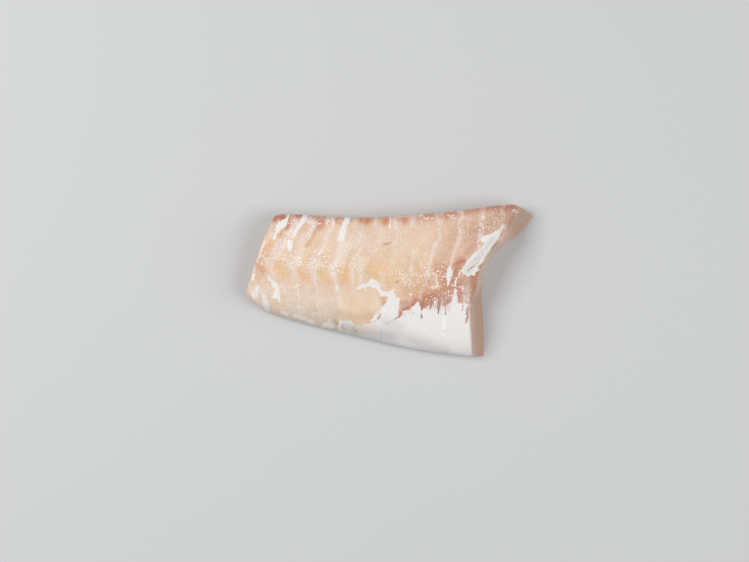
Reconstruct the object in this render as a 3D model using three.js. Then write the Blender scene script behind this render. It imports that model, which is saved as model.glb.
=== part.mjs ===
// Cod fillet portion: one piece of raw, skinless fish from the head end of a side, lying flesh side up.
// Millimetres, +Z up. +X runs from the tail cut to the head cut, +Y from the belly edge to the back edge.
// The slab is a patch between four edge curves. Its top sheet is crowned and carries the low relief of
// the flakes, its side sheet wraps round the four edges, and its underside is flat.
import * as THREE from "three";
import { mergeGeometries, mergeVertices } from "three/addons/utils/BufferGeometryUtils.js";

// Plan: the outline seen from above, four edges that meet at their ends
const BELLY_EDGE = [[-83.5, -15.4], [-75, -20], [-45, -28.6], [11, -41.8], [44, -46.5], [57.6, -46.9]];
const HEAD_CUT = [[57.6, -46.9], [57.6, -30], [56.5, -6], [59.3, 8], [66.8, 19], [81, 29.4], [88.6, 39.4]];
const BACK_EDGE = [[-71.6, 39.8], [-62, 40.9], [-15, 38.8], [37, 42.5], [69, 46.5], [79, 45.8], [88.6, 39.4]];
const TAIL_CUT = [[-83.5, -15.4], [-88, -9.5], [-87.8, -2.5], [-80.3, 20], [-75, 32.8], [-71.6, 39.8]];
const LENGTH = 176;
const WIDTH = 88;

// Heights of the flesh side above the board
const BELLY_EDGE_HEIGHT = 5;
const BELLY_RISE = 14; // from the belly edge up to the belly wall
const LOIN_RISE = 7; // from the belly wall up to the crest of the loin
const BACK_FALL = 4; // from the loin down to the back edge
const CUT_FALL = 1.2; // softened rim along the tail cut

// Spans of those rises, as shares of the width or the length
const BELLY_ROUND = 0.3;
const LOIN_CREST = 0.68;
const LOIN_SPREAD = 0.52;
const BACK_ROUND = 0.06;
const CUT_ROUND = 0.014;

// Thickness along the length: fullest past the middle, thinner at the tail cut and at the nape
const TAIL_SHARE = 0.88;
const FULLEST = 0.6;
const NAPE_THINNING = 0.36;
const NAPE_ALONG = [0.8, 1]; // the part of the length and of the width over which the nape thins
const NAPE_ACROSS = [0.55, 1];

// Slopes of the sides: how far each face leans in, in plan
const HEAD_BEVEL = 9.4; // the head cut leans back, so its face shows from above
const BAY_STEEPER = 5; // it stands steeper in the bay
const BAY_START = [0.33, 0.45]; // the parts of the width over which it steepens and eases again
const BAY_END = [0.74, 0.9];
const NAPE_FLATTER = 2; // and lies flatter at the nape
const NAPE_CUT = [0.78, 0.95]; // the part of the width over which it flattens
const TAIL_TUCK = 2.4; // the other three sides tuck in towards the board
const BACK_TUCK = 6;
const BELLY_TUCK = 3.6;
const TUCK_FADE = [0.8, 1]; // the part of the length over which the long sides' tucks run out

// Flakes: bands of muscle between sheets of membrane, bent at the midline into chevrons
const FLAKE_PITCH = 12.6;
const FLAKE_RELIEF = 0.3;
const FIRST_FLAKE = -76.4; // where the first membrane sheet crosses the midline
const BEND_AT_TAIL = 10; // where the midline lies there, and how it falls towards the head
const BEND_SLOPE = 0.115;
const BEND_ROUND = 4; // the chevrons' points are rounded over this distance
const TAIL_LEAN = 0.95; // slant of the upper arms at the tail, which eases to the head's
const HEAD_LEAN = 0.24;
const LEAN_END = 10; // in plan, where the slant has eased
const ARM_REACH = 45; // the upper arms straighten up over this distance
const LOWER_STEP = 4.5; // sideways step of the lower arms just under the midline
const LOWER_STEP_REACH = 6;
const LOWER_LEAN = 0.1;
const LOWER_FADE = [-40, 20]; // in plan, where the lower arms' step runs out
const MEMBRANE_ALONG = [0.45, 0.65]; // the belly's membrane hides the flakes past this part of the length
const MEMBRANE_ACROSS = [0.25, 0.42]; // and below this part of the width

// Fineness of the sheets
const ALONG = 72;
const ACROSS = 30;
const UP = 5;
const RIM_STEPS = 2 * (ALONG + ACROSS);
const EDGE_CROWDING = 0.55; // packs the rows towards the belly and back edges
const SAME_POINT = 1e-3;

const { clamp, lerp, smoothstep } = THREE.MathUtils;

function edgeCurve(points) {
  return new THREE.SplineCurve(points.map(([x, y]) => new THREE.Vector2(x, y)));
}

const belly = edgeCurve(BELLY_EDGE);
const head = edgeCurve(HEAD_CUT);
const back = edgeCurve(BACK_EDGE);
const tail = edgeCurve(TAIL_CUT);

// A point of the plan: u from the tail cut to the head cut, v from the belly edge to the back edge.
// The patch blends each pair of facing edges and takes away the corners, which both pairs hold.
function planPoint(u, v) {
  const lengthwise = belly.getPointAt(u).lerp(back.getPointAt(u), v);
  const crosswise = tail.getPointAt(v).lerp(head.getPointAt(v), u);
  const low = tail.getPointAt(0).lerp(head.getPointAt(0), u);
  const high = tail.getPointAt(1).lerp(head.getPointAt(1), u);
  return lengthwise.add(crosswise).sub(low.lerp(high, v));
}

// A quarter of a circle, from 0 at t = 0 with an upright start to 1 at t = 1, where it is level
function quarterRound(t) {
  return Math.sqrt(1 - (1 - clamp(t, 0, 1)) ** 2);
}

// A smooth hump, 1 in the middle and 0 from a distance of 1
function hump(t) {
  return Math.cos((Math.PI / 2) * clamp(t, -1, 1)) ** 2;
}

// How many membrane sheets lie between the tail cut and this point of the plan
function flakeCount(x, y) {
  const above = y - BEND_AT_TAIL + BEND_SLOPE * (x - FIRST_FLAKE);
  const lean = lerp(TAIL_LEAN, HEAD_LEAN, smoothstep(x, FIRST_FLAKE, LEAN_END));
  const up = (above + Math.hypot(above, BEND_ROUND)) / 2;
  const below = up - above;
  const upperArm = lean * ARM_REACH * (1 - Math.exp(-up / ARM_REACH));
  const lowerArm = LOWER_STEP * (1 - Math.exp(-below / LOWER_STEP_REACH)) + LOWER_LEAN * below;
  return (x - upperArm - lowerArm * (1 - smoothstep(x, ...LOWER_FADE)) - FIRST_FLAKE) / FLAKE_PITCH;
}

// Low swell of each flake between its two sheets, fading out at the rim and under the belly's membrane
function flakeRelief(u, v, x, y) {
  const swell = 0.5 - 0.5 * Math.cos(2 * Math.PI * flakeCount(x, y));
  const rim = quarterRound(v / BELLY_ROUND) * quarterRound((1 - v) / BACK_ROUND);
  const membrane = smoothstep(u, ...MEMBRANE_ALONG) * (1 - smoothstep(v, ...MEMBRANE_ACROSS));
  return FLAKE_RELIEF * swell * rim * (1 - membrane);
}

function topHeight(u, v, x, y) {
  const section =
    BELLY_EDGE_HEIGHT +
    BELLY_RISE * quarterRound(v / BELLY_ROUND) +
    LOIN_RISE * hump((v - LOIN_CREST) / LOIN_SPREAD) -
    BACK_FALL * (1 - quarterRound((1 - v) / BACK_ROUND)) -
    CUT_FALL * (1 - quarterRound(u / CUT_ROUND));
  const along = lerp(TAIL_SHARE, 1, Math.sin((Math.PI / 2) * clamp(u / FULLEST, 0, 1)));
  const nape = 1 - NAPE_THINNING * smoothstep(u, ...NAPE_ALONG) * smoothstep(v, ...NAPE_ACROSS);
  return section * along * nape + flakeRelief(u, v, x, y);
}

// A point of the surface: w is 0 at the board and 1 at the flesh side. Each level is the whole plan,
// drawn in a little from its edges by the slopes of the four sides.
function surfacePoint(u, v, w) {
  const bay = smoothstep(v, ...BAY_START) * (1 - smoothstep(v, ...BAY_END));
  const bevel = HEAD_BEVEL - BAY_STEEPER * bay + NAPE_FLATTER * smoothstep(v, ...NAPE_CUT);
  const under = 1 - w;
  const tuck = (under ** 2 * (1 - smoothstep(u, ...TUCK_FADE))) / WIDTH;
  const levelU = lerp((TAIL_TUCK / LENGTH) * under, 1 - (bevel / LENGTH) * w, u);
  const levelV = lerp(BELLY_TUCK * tuck, 1 - BACK_TUCK * tuck, v);
  const { x, y } = planPoint(levelU, levelV);
  return new THREE.Vector3(x, y, w * topHeight(levelU, levelV, x, y));
}

// Rows lie closer together towards v = 0 and v = 1, where the rims are round
function crowded(v) {
  return v - (EDGE_CROWDING * Math.sin(2 * Math.PI * v)) / (2 * Math.PI);
}

// The step round the rim, counter-clockwise from the tail end of the belly edge, as a grid place i, j
function rimStep(step) {
  if (step <= ALONG) return [step, 0];
  if (step <= ALONG + ACROSS) return [ALONG, step - ALONG];
  if (step <= 2 * ALONG + ACROSS) return [2 * ALONG + ACROSS - step, ACROSS];
  return [0, RIM_STEPS - step];
}

function gridPoint(i, j, w) {
  return surfacePoint(i / ALONG, crowded(j / ACROSS), w);
}

function rimPoint(step, w) {
  return gridPoint(...rimStep(step), w);
}

// A flat sheet of squares whose corners are moved to place(s, t), with s and t counted in whole steps
function sheet(stepsS, stepsT, place) {
  const geometry = new THREE.PlaneGeometry(1, 1, stepsS, stepsT);
  const { position, uv } = geometry.attributes;
  for (let i = 0; i < position.count; i += 1) {
    const { x, y, z } = place(Math.round(uv.getX(i) * stepsS), Math.round(uv.getY(i) * stepsT));
    position.setXYZ(i, x, y, z);
  }
  return geometry;
}

function topSheet() {
  return sheet(ALONG, ACROSS, (i, j) => gridPoint(i, j, 1));
}

function sideSheet() {
  return sheet(RIM_STEPS, UP, (step, level) => rimPoint(step, level / UP));
}

function underside() {
  const rim = Array.from({ length: RIM_STEPS }, (_, step) => rimPoint(step, 0));
  const outline = new THREE.Shape(rim.map(({ x, y }) => new THREE.Vector2(x, y)));
  const geometry = new THREE.ShapeGeometry(outline);
  geometry.index.array.reverse(); // turns the faces towards the board
  return geometry;
}

function filletGeometry() {
  const sheets = [topSheet(), sideSheet(), underside()];
  for (const geometry of sheets) {
    geometry.deleteAttribute("normal");
    geometry.deleteAttribute("uv");
  }
  const joined = mergeVertices(mergeGeometries(sheets), SAME_POINT);
  joined.computeBoundingBox();
  const middle = joined.boundingBox.getCenter(new THREE.Vector3());
  joined.translate(-middle.x, -middle.y, 0);
  joined.computeVertexNormals();
  return joined;
}

const wetFlesh = new THREE.MeshStandardMaterial({ color: 0xe6c9ae, roughness: 0.35, metalness: 0 });

const fillet = new THREE.Mesh(filletGeometry(), wetFlesh);
fillet.name = "cod_fillet";

const portion = new THREE.Group();
portion.add(fillet);

export default portion;
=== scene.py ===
# %% [markdown]
# A raw cod fillet, flesh side up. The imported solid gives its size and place. This script replaces that
# plain solid with a finer mesh of the same form, paints it with the tones of fresh fish, and adds the wet
# shine, a pale floor, soft light and a camera that looks straight down.

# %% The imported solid
import math

import bpy
import numpy as np
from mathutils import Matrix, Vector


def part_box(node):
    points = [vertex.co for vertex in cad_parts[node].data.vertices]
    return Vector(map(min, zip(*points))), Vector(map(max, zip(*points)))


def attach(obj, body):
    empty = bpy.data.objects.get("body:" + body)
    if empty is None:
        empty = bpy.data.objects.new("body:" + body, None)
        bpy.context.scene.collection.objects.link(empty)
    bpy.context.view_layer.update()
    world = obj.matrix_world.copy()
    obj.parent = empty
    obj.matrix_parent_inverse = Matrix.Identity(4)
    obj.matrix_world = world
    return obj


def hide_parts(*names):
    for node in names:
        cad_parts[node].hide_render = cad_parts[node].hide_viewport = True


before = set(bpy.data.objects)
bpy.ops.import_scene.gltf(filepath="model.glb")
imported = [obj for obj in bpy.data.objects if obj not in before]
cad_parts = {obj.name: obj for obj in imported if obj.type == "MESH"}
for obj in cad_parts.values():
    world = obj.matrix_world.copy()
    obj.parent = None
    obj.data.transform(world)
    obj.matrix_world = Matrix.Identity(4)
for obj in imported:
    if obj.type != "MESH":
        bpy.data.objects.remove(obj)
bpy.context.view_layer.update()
solid_low, solid_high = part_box("cod_fillet")
MM = 0.001
print("solid, mm:", [round(side / MM, 1) for side in solid_high - solid_low])

# %% [markdown]
# The marks on the flesh, such as torn strips of membrane, were placed on a picture taken from straight
# above. One picture pixel is 0.62 mm on the board, so a mark can be written as pixels and turned into
# metres by one small function. The picture's x runs to the head end, and its y runs down. The flesh side
# is a little nearer to the camera than the board, so marks are drawn in slightly towards the middle.

# %% Picture pixels to metres
IMAGE_WIDTH = 749
IMAGE_HEIGHT = 562
PIXEL = 0.62 * MM
FILLET_MIDDLE = (390.5, 280.5)
TOP_NEARER = 0.993


def from_picture(points):
    """Turns picture pixels into plan metres. A third number, a width in pixels, becomes metres too."""
    rows = np.array(points, float)
    middle = np.array([IMAGE_WIDTH, IMAGE_HEIGHT]) / 2
    rows[:, :2] = middle + (rows[:, :2] - middle) * TOP_NEARER - np.array(FILLET_MIDDLE)
    rows[:, 1] = -rows[:, 1]
    return rows * PIXEL


def linear(hex_colour):
    """Turns an sRGB hex colour into the linear numbers that shaders work with."""
    channels = np.array([int(hex_colour[i:i + 2], 16) for i in (0, 2, 4)]) / 255.0
    return np.where(channels <= 0.04045, channels / 12.92, ((channels + 0.055) / 1.055) ** 2.4)


print("picture covers, mm:", round(IMAGE_WIDTH * PIXEL / MM), "by", round(IMAGE_HEIGHT * PIXEL / MM))

# %% [markdown]
# The plan of the fillet is a patch between four edges: the belly edge, the head cut, the back edge and
# the tail cut. Each edge is a smooth curve through a few points. A curve object could draw them, but the
# whole surface hangs on these edges, so they are worked out with arrays.

# %% Four edges in plan
BELLY_EDGE = [[-83.5, -15.4], [-75, -20], [-45, -28.6], [11, -41.8], [44, -46.5], [57.6, -46.9]]
HEAD_CUT = [[57.6, -46.9], [57.6, -30], [56.5, -6], [59.3, 8], [66.8, 19], [81, 29.4], [88.6, 39.4]]
BACK_EDGE = [[-71.6, 39.8], [-62, 40.9], [-15, 38.8], [37, 42.5], [69, 46.5], [79, 45.8], [88.6, 39.4]]
TAIL_CUT = [[-83.5, -15.4], [-88, -9.5], [-87.8, -2.5], [-80.3, 20], [-75, 32.8], [-71.6, 39.8]]
LENGTH = 176 * MM
WIDTH = 88 * MM
SPAN_STEPS = 64


def edge_curve(points_mm):
    """Gives a function: the place on a smooth curve through the points, at a share of its length."""
    points = np.array(points_mm) * MM
    padded = np.vstack([points[:1], points, points[-1:]])
    t = np.linspace(0, 1, SPAN_STEPS, endpoint=False)[:, None]
    spans = []
    for before, start, end, after in zip(padded, padded[1:], padded[2:], padded[3:]):
        leave = (end - before) / 2
        arrive = (after - start) / 2
        cubic = 2 * start - 2 * end + leave + arrive
        square = 3 * end - 3 * start - 2 * leave - arrive
        spans.append(cubic * t ** 3 + square * t ** 2 + leave * t + start)
    places = np.vstack(spans + [points[-1:]])
    steps = np.hypot(*np.diff(places, axis=0).T)
    share = np.append(0, np.cumsum(steps)) / steps.sum()
    return lambda at: np.stack([np.interp(at, share, places[:, k]) for k in (0, 1)], axis=-1)


belly = edge_curve(BELLY_EDGE)
head = edge_curve(HEAD_CUT)
back = edge_curve(BACK_EDGE)
tail = edge_curve(TAIL_CUT)


def plan_point(u, v):
    """Blends each pair of facing edges: u from tail cut to head cut, v from belly edge to back edge."""
    u = np.asarray(u, float)
    v = np.asarray(v, float)
    across = v[..., None]
    along = u[..., None]
    lengthwise = belly(u) * (1 - across) + back(u) * across
    crosswise = tail(v) * (1 - along) + head(v) * along
    low = tail(0.0) * (1 - along) + head(0.0) * along
    high = tail(1.0) * (1 - along) + head(1.0) * along
    return lengthwise + crosswise - low * (1 - across) - high * across


print("nape tip, mm:", np.round(plan_point(1.0, 1.0) / MM, 1))

# %% [markdown]
# Flakes are bands of muscle with thin sheets of membrane between them. From above the sheets show as pale
# lines, bent at the midline into chevrons that point to the tail. One number per point says how many
# sheets lie between it and the tail: it is whole on a sheet, so lines, swells and grooves can all be
# drawn from it.

# %% Counting the flakes
FLAKE_PITCH = 12.6 * MM
FIRST_FLAKE = -76.4 * MM
BEND_AT_TAIL = 10 * MM
BEND_SLOPE = 0.115
BEND_ROUND = 4 * MM
TAIL_LEAN = 0.95
HEAD_LEAN = 0.24
LEAN_END = 10 * MM
ARM_REACH = 45 * MM
LOWER_STEP = 4.5 * MM
LOWER_STEP_REACH = 6 * MM
LOWER_LEAN = 0.1
LOWER_FADE = (-40 * MM, 20 * MM)


def smooth(value, start, end):
    """Rises from 0 at start to 1 at end with no kink."""
    t = np.clip((value - start) / (end - start), 0, 1)
    return t * t * (3 - 2 * t)


def above_midline(x, y):
    """How far a point of the plan lies above the line where the chevrons bend."""
    return y - BEND_AT_TAIL + BEND_SLOPE * (x - FIRST_FLAKE)


def flake_count(x, y):
    """How many sheets lie between the tail cut and a point of the plan."""
    above = above_midline(x, y)
    lean = TAIL_LEAN + (HEAD_LEAN - TAIL_LEAN) * smooth(x, FIRST_FLAKE, LEAN_END)
    up = (above + np.hypot(above, BEND_ROUND)) / 2
    below = up - above
    upper_arm = lean * ARM_REACH * (1 - np.exp(-up / ARM_REACH))
    lower_arm = LOWER_STEP * (1 - np.exp(-below / LOWER_STEP_REACH)) + LOWER_LEAN * below
    return (x - upper_arm - lower_arm * (1 - smooth(x, *LOWER_FADE)) - FIRST_FLAKE) / FLAKE_PITCH


rim_middle = np.array(HEAD_CUT[2]) * MM
print("sheets from tail to head:", round(float(flake_count(*rim_middle)), 1))

# %% [markdown]
# The height of the flesh side is a sum of plain parts: a belly edge that rises like a quarter circle, a
# low hump for the loin, a rounded back edge, and a nape that thins out. A sculpted mesh could do it too,
# but a formula keeps the fine mesh exactly on the solid.

# %% Height of the flesh side
BELLY_EDGE_HEIGHT = 5 * MM
BELLY_RISE = 14 * MM
LOIN_RISE = 7 * MM
BACK_FALL = 4 * MM
CUT_FALL = 1.2 * MM
FLAKE_RELIEF = 0.3 * MM
BELLY_ROUND = 0.3
LOIN_CREST = 0.68
LOIN_SPREAD = 0.52
BACK_ROUND = 0.06
CUT_ROUND = 0.014
TAIL_SHARE = 0.88
FULLEST = 0.6
NAPE_THINNING = 0.36
NAPE_ALONG = (0.8, 1)
NAPE_ACROSS = (0.55, 1)
MEMBRANE_ALONG = (0.45, 0.65)
MEMBRANE_ACROSS = (0.25, 0.42)


def quarter_round(t):
    """A quarter of a circle: 0 at t = 0 with an upright start, 1 and level at t = 1."""
    return np.sqrt(1 - (1 - np.clip(t, 0, 1)) ** 2)


def hump(t):
    """1 in the middle and 0 from a distance of 1."""
    return np.cos(np.pi / 2 * np.clip(t, -1, 1)) ** 2


def flake_relief(u, v, x, y):
    """Low swell of each flake, fading out at the rim and under the belly's membrane."""
    swell = 0.5 - 0.5 * np.cos(2 * np.pi * flake_count(x, y))
    rim = quarter_round(v / BELLY_ROUND) * quarter_round((1 - v) / BACK_ROUND)
    covered = smooth(u, *MEMBRANE_ALONG) * (1 - smooth(v, *MEMBRANE_ACROSS))
    return FLAKE_RELIEF * swell * rim * (1 - covered)


def top_height(u, v, x, y):
    """Height of the flesh side above the board."""
    section = BELLY_EDGE_HEIGHT + BELLY_RISE * quarter_round(v / BELLY_ROUND)
    section = section + LOIN_RISE * hump((v - LOIN_CREST) / LOIN_SPREAD)
    section = section - BACK_FALL * (1 - quarter_round((1 - v) / BACK_ROUND))
    section = section - CUT_FALL * (1 - quarter_round(u / CUT_ROUND))
    along = TAIL_SHARE + (1 - TAIL_SHARE) * np.sin(np.pi / 2 * np.clip(u / FULLEST, 0, 1))
    nape = 1 - NAPE_THINNING * smooth(u, *NAPE_ALONG) * smooth(v, *NAPE_ACROSS)
    return section * along * nape + flake_relief(u, v, x, y)


loin = plan_point(FULLEST, LOIN_CREST)
print("height at the loin, mm:", round(float(top_height(FULLEST, LOIN_CREST, *loin)) / MM, 1))

# %% [markdown]
# The sides lean. The head cut leans back, so its smooth face shows from above. The other three sides tuck
# in towards the board, as soft flesh does. Each level between the board and the flesh side is the whole
# plan, drawn in a little from its edges.

# %% Levels between the board and the flesh side
HEAD_BEVEL = 9.4 * MM
BAY_STEEPER = 5 * MM
BAY_START = (0.33, 0.45)
BAY_END = (0.74, 0.9)
NAPE_FLATTER = 2 * MM
NAPE_CUT = (0.78, 0.95)
TAIL_TUCK = 2.4 * MM
BACK_TUCK = 6 * MM
BELLY_TUCK = 3.6 * MM
TUCK_FADE = (0.8, 1)


def bay_share(v):
    """1 in the bay of the head cut, 0 at the belly corner and at the nape."""
    return smooth(v, *BAY_START) * (1 - smooth(v, *BAY_END))


def level_place(u, v, w):
    """The shares of the plan that the level w uses, 0 at the board and 1 at the flesh side."""
    bevel = HEAD_BEVEL - BAY_STEEPER * bay_share(v) + NAPE_FLATTER * smooth(v, *NAPE_CUT)
    under = 1 - w
    tuck = under ** 2 * (1 - smooth(u, *TUCK_FADE)) / WIDTH
    first_u = TAIL_TUCK / LENGTH * under
    last_u = 1 - bevel / LENGTH * w
    level_u = first_u + (last_u - first_u) * u
    level_v = BELLY_TUCK * tuck + (1 - (BACK_TUCK + BELLY_TUCK) * tuck) * v
    return level_u, level_v


bay_bevel = HEAD_BEVEL - BAY_STEEPER
print("head cut leans by, mm:", round(HEAD_BEVEL / MM, 1), "and in its bay:", round(bay_bevel / MM, 1))

# %% [markdown]
# Three sheets of points make the closed skin. The top is a grid of about half a millimetre, fine enough
# for torn edges and ripples. The sides are rows round the rim, and the underside is a coarse grid whose
# outer cells take in every point of the fine rim, so no gap opens between them.

# %% Points of the three sheets
COARSE = 4
ALONG = 88 * COARSE
ACROSS = 46 * COARSE
UP = 12
RIM_STEPS = 2 * (ALONG + ACROSS)
EDGE_CROWDING = 0.3


def crowded(v):
    """Packs the rows a little towards the belly and back edges, where the rims are round."""
    return v - EDGE_CROWDING * np.sin(2 * np.pi * v) / (2 * np.pi)


def rim_places():
    """Grid places round the rim, counter-clockwise from the tail end of the belly edge."""
    belly_side = [(i, 0) for i in range(ALONG)]
    head_side = [(ALONG, j) for j in range(ACROSS)]
    back_side = [(i, ACROSS) for i in range(ALONG, 0, -1)]
    tail_side = [(0, j) for j in range(ACROSS, 0, -1)]
    return np.array(belly_side + head_side + back_side + tail_side)


grid_i, grid_j = np.meshgrid(np.arange(ALONG + 1), np.arange(ACROSS + 1), indexing="ij")
rim = rim_places()
coarse_i, coarse_j = np.meshgrid(np.arange(COARSE, ALONG, COARSE), np.arange(COARSE, ACROSS, COARSE),
                                 indexing="ij")
row = np.repeat(np.arange(UP), RIM_STEPS)
place_i = np.concatenate([grid_i.ravel(), np.tile(rim[:, 0], UP), coarse_i.ravel()])
place_j = np.concatenate([grid_j.ravel(), np.tile(rim[:, 1], UP), coarse_j.ravel()])
level = np.concatenate([np.ones(grid_i.size), row / UP, np.zeros(coarse_i.size)])
TOP_POINTS = grid_i.size
SIDE_POINTS = row.size
u, v = level_place(place_i / ALONG, crowded(place_j / ACROSS), level)
x, y = plan_point(u, v).T
print("points:", TOP_POINTS, "on top,", SIDE_POINTS, "on the sides,", coarse_i.size, "underneath")

# %% [markdown]
# The white marks are torn membrane. A narrow scrap is a stroke: a path of pixels with a width at each. A
# wider piece, such as the big sheet on the belly, is an outline. For every point of the mesh the script
# works out how far inside a mark it lies, in metres. The edge of a mark is where that reach is zero, so
# its outline can be roughened later.

# %% How far inside a stroke or an outline
FAR = 1.0  # metres, further than any mark reaches


def nearest_place(x0, y0, x1, y1):
    """The share along a straight piece that is nearest to each mesh point, and the gap between them."""
    square = (x1 - x0) ** 2 + (y1 - y0) ** 2
    t = np.clip(((x - x0) * (x1 - x0) + (y - y0) * (y1 - y0)) / square, 0, 1)
    return t, np.hypot(x - x0 - t * (x1 - x0), y - y0 - t * (y1 - y0))


def stroke_reach(path):
    """How far inside a stroke each mesh point lies. The path holds picture x, y and width."""
    best = np.full(x.shape, -FAR)
    rows = from_picture(path)
    for (x0, y0, w0), (x1, y1, w1) in zip(rows, rows[1:]):
        t, gap = nearest_place(x0, y0, x1, y1)
        best = np.maximum(best, (w0 + (w1 - w0) * t) / 2 - gap)
    return best


def area_reach(outline):
    """How far inside a closed outline each mesh point lies."""
    corners = from_picture(outline)
    near = np.full(x.shape, FAR)
    inside = np.zeros(x.shape, bool)
    for (x0, y0), (x1, y1) in zip(corners, np.roll(corners, -1, axis=0)):
        near = np.minimum(near, nearest_place(x0, y0, x1, y1)[1])
        crosses = (y0 > y) != (y1 > y)
        inside ^= crosses & (x < x0 + (y - y0) / np.where(crosses, y1 - y0, 1) * (x1 - x0))
    return np.where(inside, near, -near)


def soft_stroke(path, softness):
    """Cover of a stroke from 0 to 1, with an edge that is soft over some pixels each way."""
    return smooth(stroke_reach(path), -softness * PIXEL, softness * PIXEL)


# In the middle of a stroke, the reach should come to half its width.
TEST_STROKE = [(390, 280, 10), (410, 280, 10)]
print("reach in a stroke 10 pixels wide, mm:", round(float(stroke_reach(TEST_STROKE).max()) / MM, 1))

# %% [markdown]
# Each outline below goes round one piece of membrane as it shows from above, and each stroke is a narrow
# strip or a scrap. Holes are strokes where the sheet is torn open. A fleck area keeps the reach just
# below zero, so that the roughened edge breaks through it later in scattered flecks.

# %% Outlines of the white pieces
WHITE_AREAS = {
    "belly sheet": [
        (331, 380), (333, 350), (330, 345), (335.5, 341.5), (336.5, 338), (331.5, 335.5),
        (333, 332), (336.5, 330), (337, 326), (340, 320.5), (351, 321), (354.5, 324.5), (359, 325),
        (362, 326.5), (367, 324), (371, 320.5), (376, 315), (378, 313), (381, 308), (386, 303),
        (388, 298), (387, 296), (383, 297), (380, 295), (378.5, 290), (376, 289), (371, 287),
        (366, 287), (361, 289), (356, 290), (356.5, 287.5), (362, 284.5), (366.5, 283.5),
        (369, 280.5), (373, 279.2), (377, 281), (379, 284), (380, 288), (383, 291), (387, 292.5),
        (391, 290), (394.5, 288.5), (394, 294), (396, 297.5), (400, 298), (399.5, 303),
        (398.5, 309), (399, 313), (402, 311), (409, 310.5), (413, 307), (416, 304), (418.5, 301),
        (420, 307), (421, 311), (423, 309), (426, 308), (428.5, 305.5), (431, 309.5), (434, 304.5),
        (436, 300.5), (437, 308), (438.5, 312), (440, 306), (442, 302.5), (444, 308), (445.5, 313),
        (447, 305), (450, 303), (452, 300), (453.2, 295), (454.8, 288.5), (456.8, 290), (457, 299),
        (458, 301.5), (460.5, 303.8), (464.5, 303), (467, 305), (470.5, 304), (471.5, 330),
        (482, 335), (482, 380),
    ],
    "head strip": [
        (498.5, 229), (501, 231), (499.6, 235), (497.4, 240), (493.2, 245), (490, 250), (487, 255),
        (484.5, 260), (481, 264), (477, 267), (479, 270.5), (475.5, 272), (474.5, 276.2),
        (471.5, 274.8), (467.8, 277), (463.4, 274), (461.6, 270), (466.4, 262), (472.6, 254.6),
        (480.4, 248.3), (484.6, 243.2), (481.2, 242.8), (480, 239.4), (482, 236.6), (486, 235.4),
        (491, 234), (495, 231.5),
    ],
    "first tail strip": [
        (287.6, 211), (289.4, 211), (288.8, 217.5), (287.6, 220.5), (286.2, 226), (283.5, 228.5),
        (280.2, 229.8), (278.5, 232), (276.8, 235.2), (275.3, 239.3), (272.3, 240),
        (274.2, 235.5), (275.2, 232), (276, 228), (277.5, 223.8), (281, 221.8), (284, 219.8),
        (286.2, 217.5),
    ],
    "second tail strip": [
        (303.2, 212), (309, 212), (306, 219.5), (302.5, 225), (299.5, 228.5), (296.8, 233),
        (294, 237), (291.5, 239.5), (293, 234.5), (294.8, 230), (296, 226.5), (299.5, 221.5),
        (302, 217.5),
    ],
    "short strip": [
        (288.3, 240), (292.8, 240), (292.4, 246), (291.3, 249.5), (289.5, 251.8), (286.6, 248),
        (287.8, 244),
    ],
    "back strip": [
        (345, 213), (351, 213), (349, 222), (346.5, 227), (346, 231), (344.5, 236), (343.3, 241),
        (339, 241.8), (336, 240.3), (338.5, 236), (339.5, 231), (340.5, 227), (343.5, 222),
    ],
    "tail flap": [
        (270.5, 279.5), (273, 280.5), (276.8, 284.5), (279.3, 288.5), (279.6, 296),
        (280.3, 301.5), (279, 303), (277.5, 299.5), (274, 298.5), (271, 297.5), (273.5, 295),
        (274.3, 290.5), (272.5, 287), (271, 283),
    ],
}

reach = np.maximum.reduce([area_reach(outline) for outline in WHITE_AREAS.values()])
print("pieces outlined:", len(WHITE_AREAS))

# %% Narrow scraps, holes and flecks
WHITE_STROKES = [
    [(390.4, 216, 1.2), (389.9, 224, 1.2), (389.7, 227, 2.6)],
    [(268.6, 276, 2.6), (269.4, 279.5, 3)],
    [(253.4, 275, 2), (252.6, 279.5, 2.4)],
    [(256.8, 288, 2.4), (256, 291, 2.4)],
    [(251.8, 294, 1.6), (254, 296.5, 2.6)],
    [(293, 287.4, 1.2), (296.5, 287, 2.4), (298.2, 285, 1.4)],
    [(338, 286.5, 1.6), (337.2, 289.5, 2)],
    [(449.5, 267, 3), (449.6, 271.5, 6.4), (448.4, 279, 4.6), (447.6, 285, 2.4)],
    [(462.4, 269.4, 1.4), (457.9, 275.5, 1.6), (455.8, 281.6, 1.8), (454.9, 286, 1.4)],
    [(328.4, 220, 1.4), (326.6, 223.5, 1.6)],
    [(332, 219, 1), (333.4, 223, 1.6)],
]
HOLES = [
    [(380, 314.4, 2.2), (378.8, 318.6, 2.8)],
    [(363, 325.4, 0.8), (369, 323, 0.8), (376, 321, 1)],
    [(421.8, 306, 3), (421.6, 310.4, 1.2)],
    [(421.6, 314, 1.1), (421.6, 317.6, 1.7)],
    [(431.6, 304, 2.6), (431, 309.6, 1.4)],
    [(439.2, 304, 2.2), (438.8, 310, 1.6), (438.4, 313.4, 1)],
    [(446.2, 309, 0.7), (445.4, 314.4, 1.2)],
    [(400.5, 310, 4), (400.6, 314, 3.2), (398.6, 317.5, 2)],
    [(463.4, 306, 1.4), (462.6, 310, 1)],
    [(468, 308, 3.2), (467.6, 314, 3), (467.2, 318.5, 2.4), (465.4, 323.5, 1.4)],
    [(482, 252.5, 0.5), (472.5, 261.5, 0.9)],
    [(478, 263, 0.8), (472, 267.5, 1.2), (467.8, 270.8, 1.1)],
]
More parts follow.
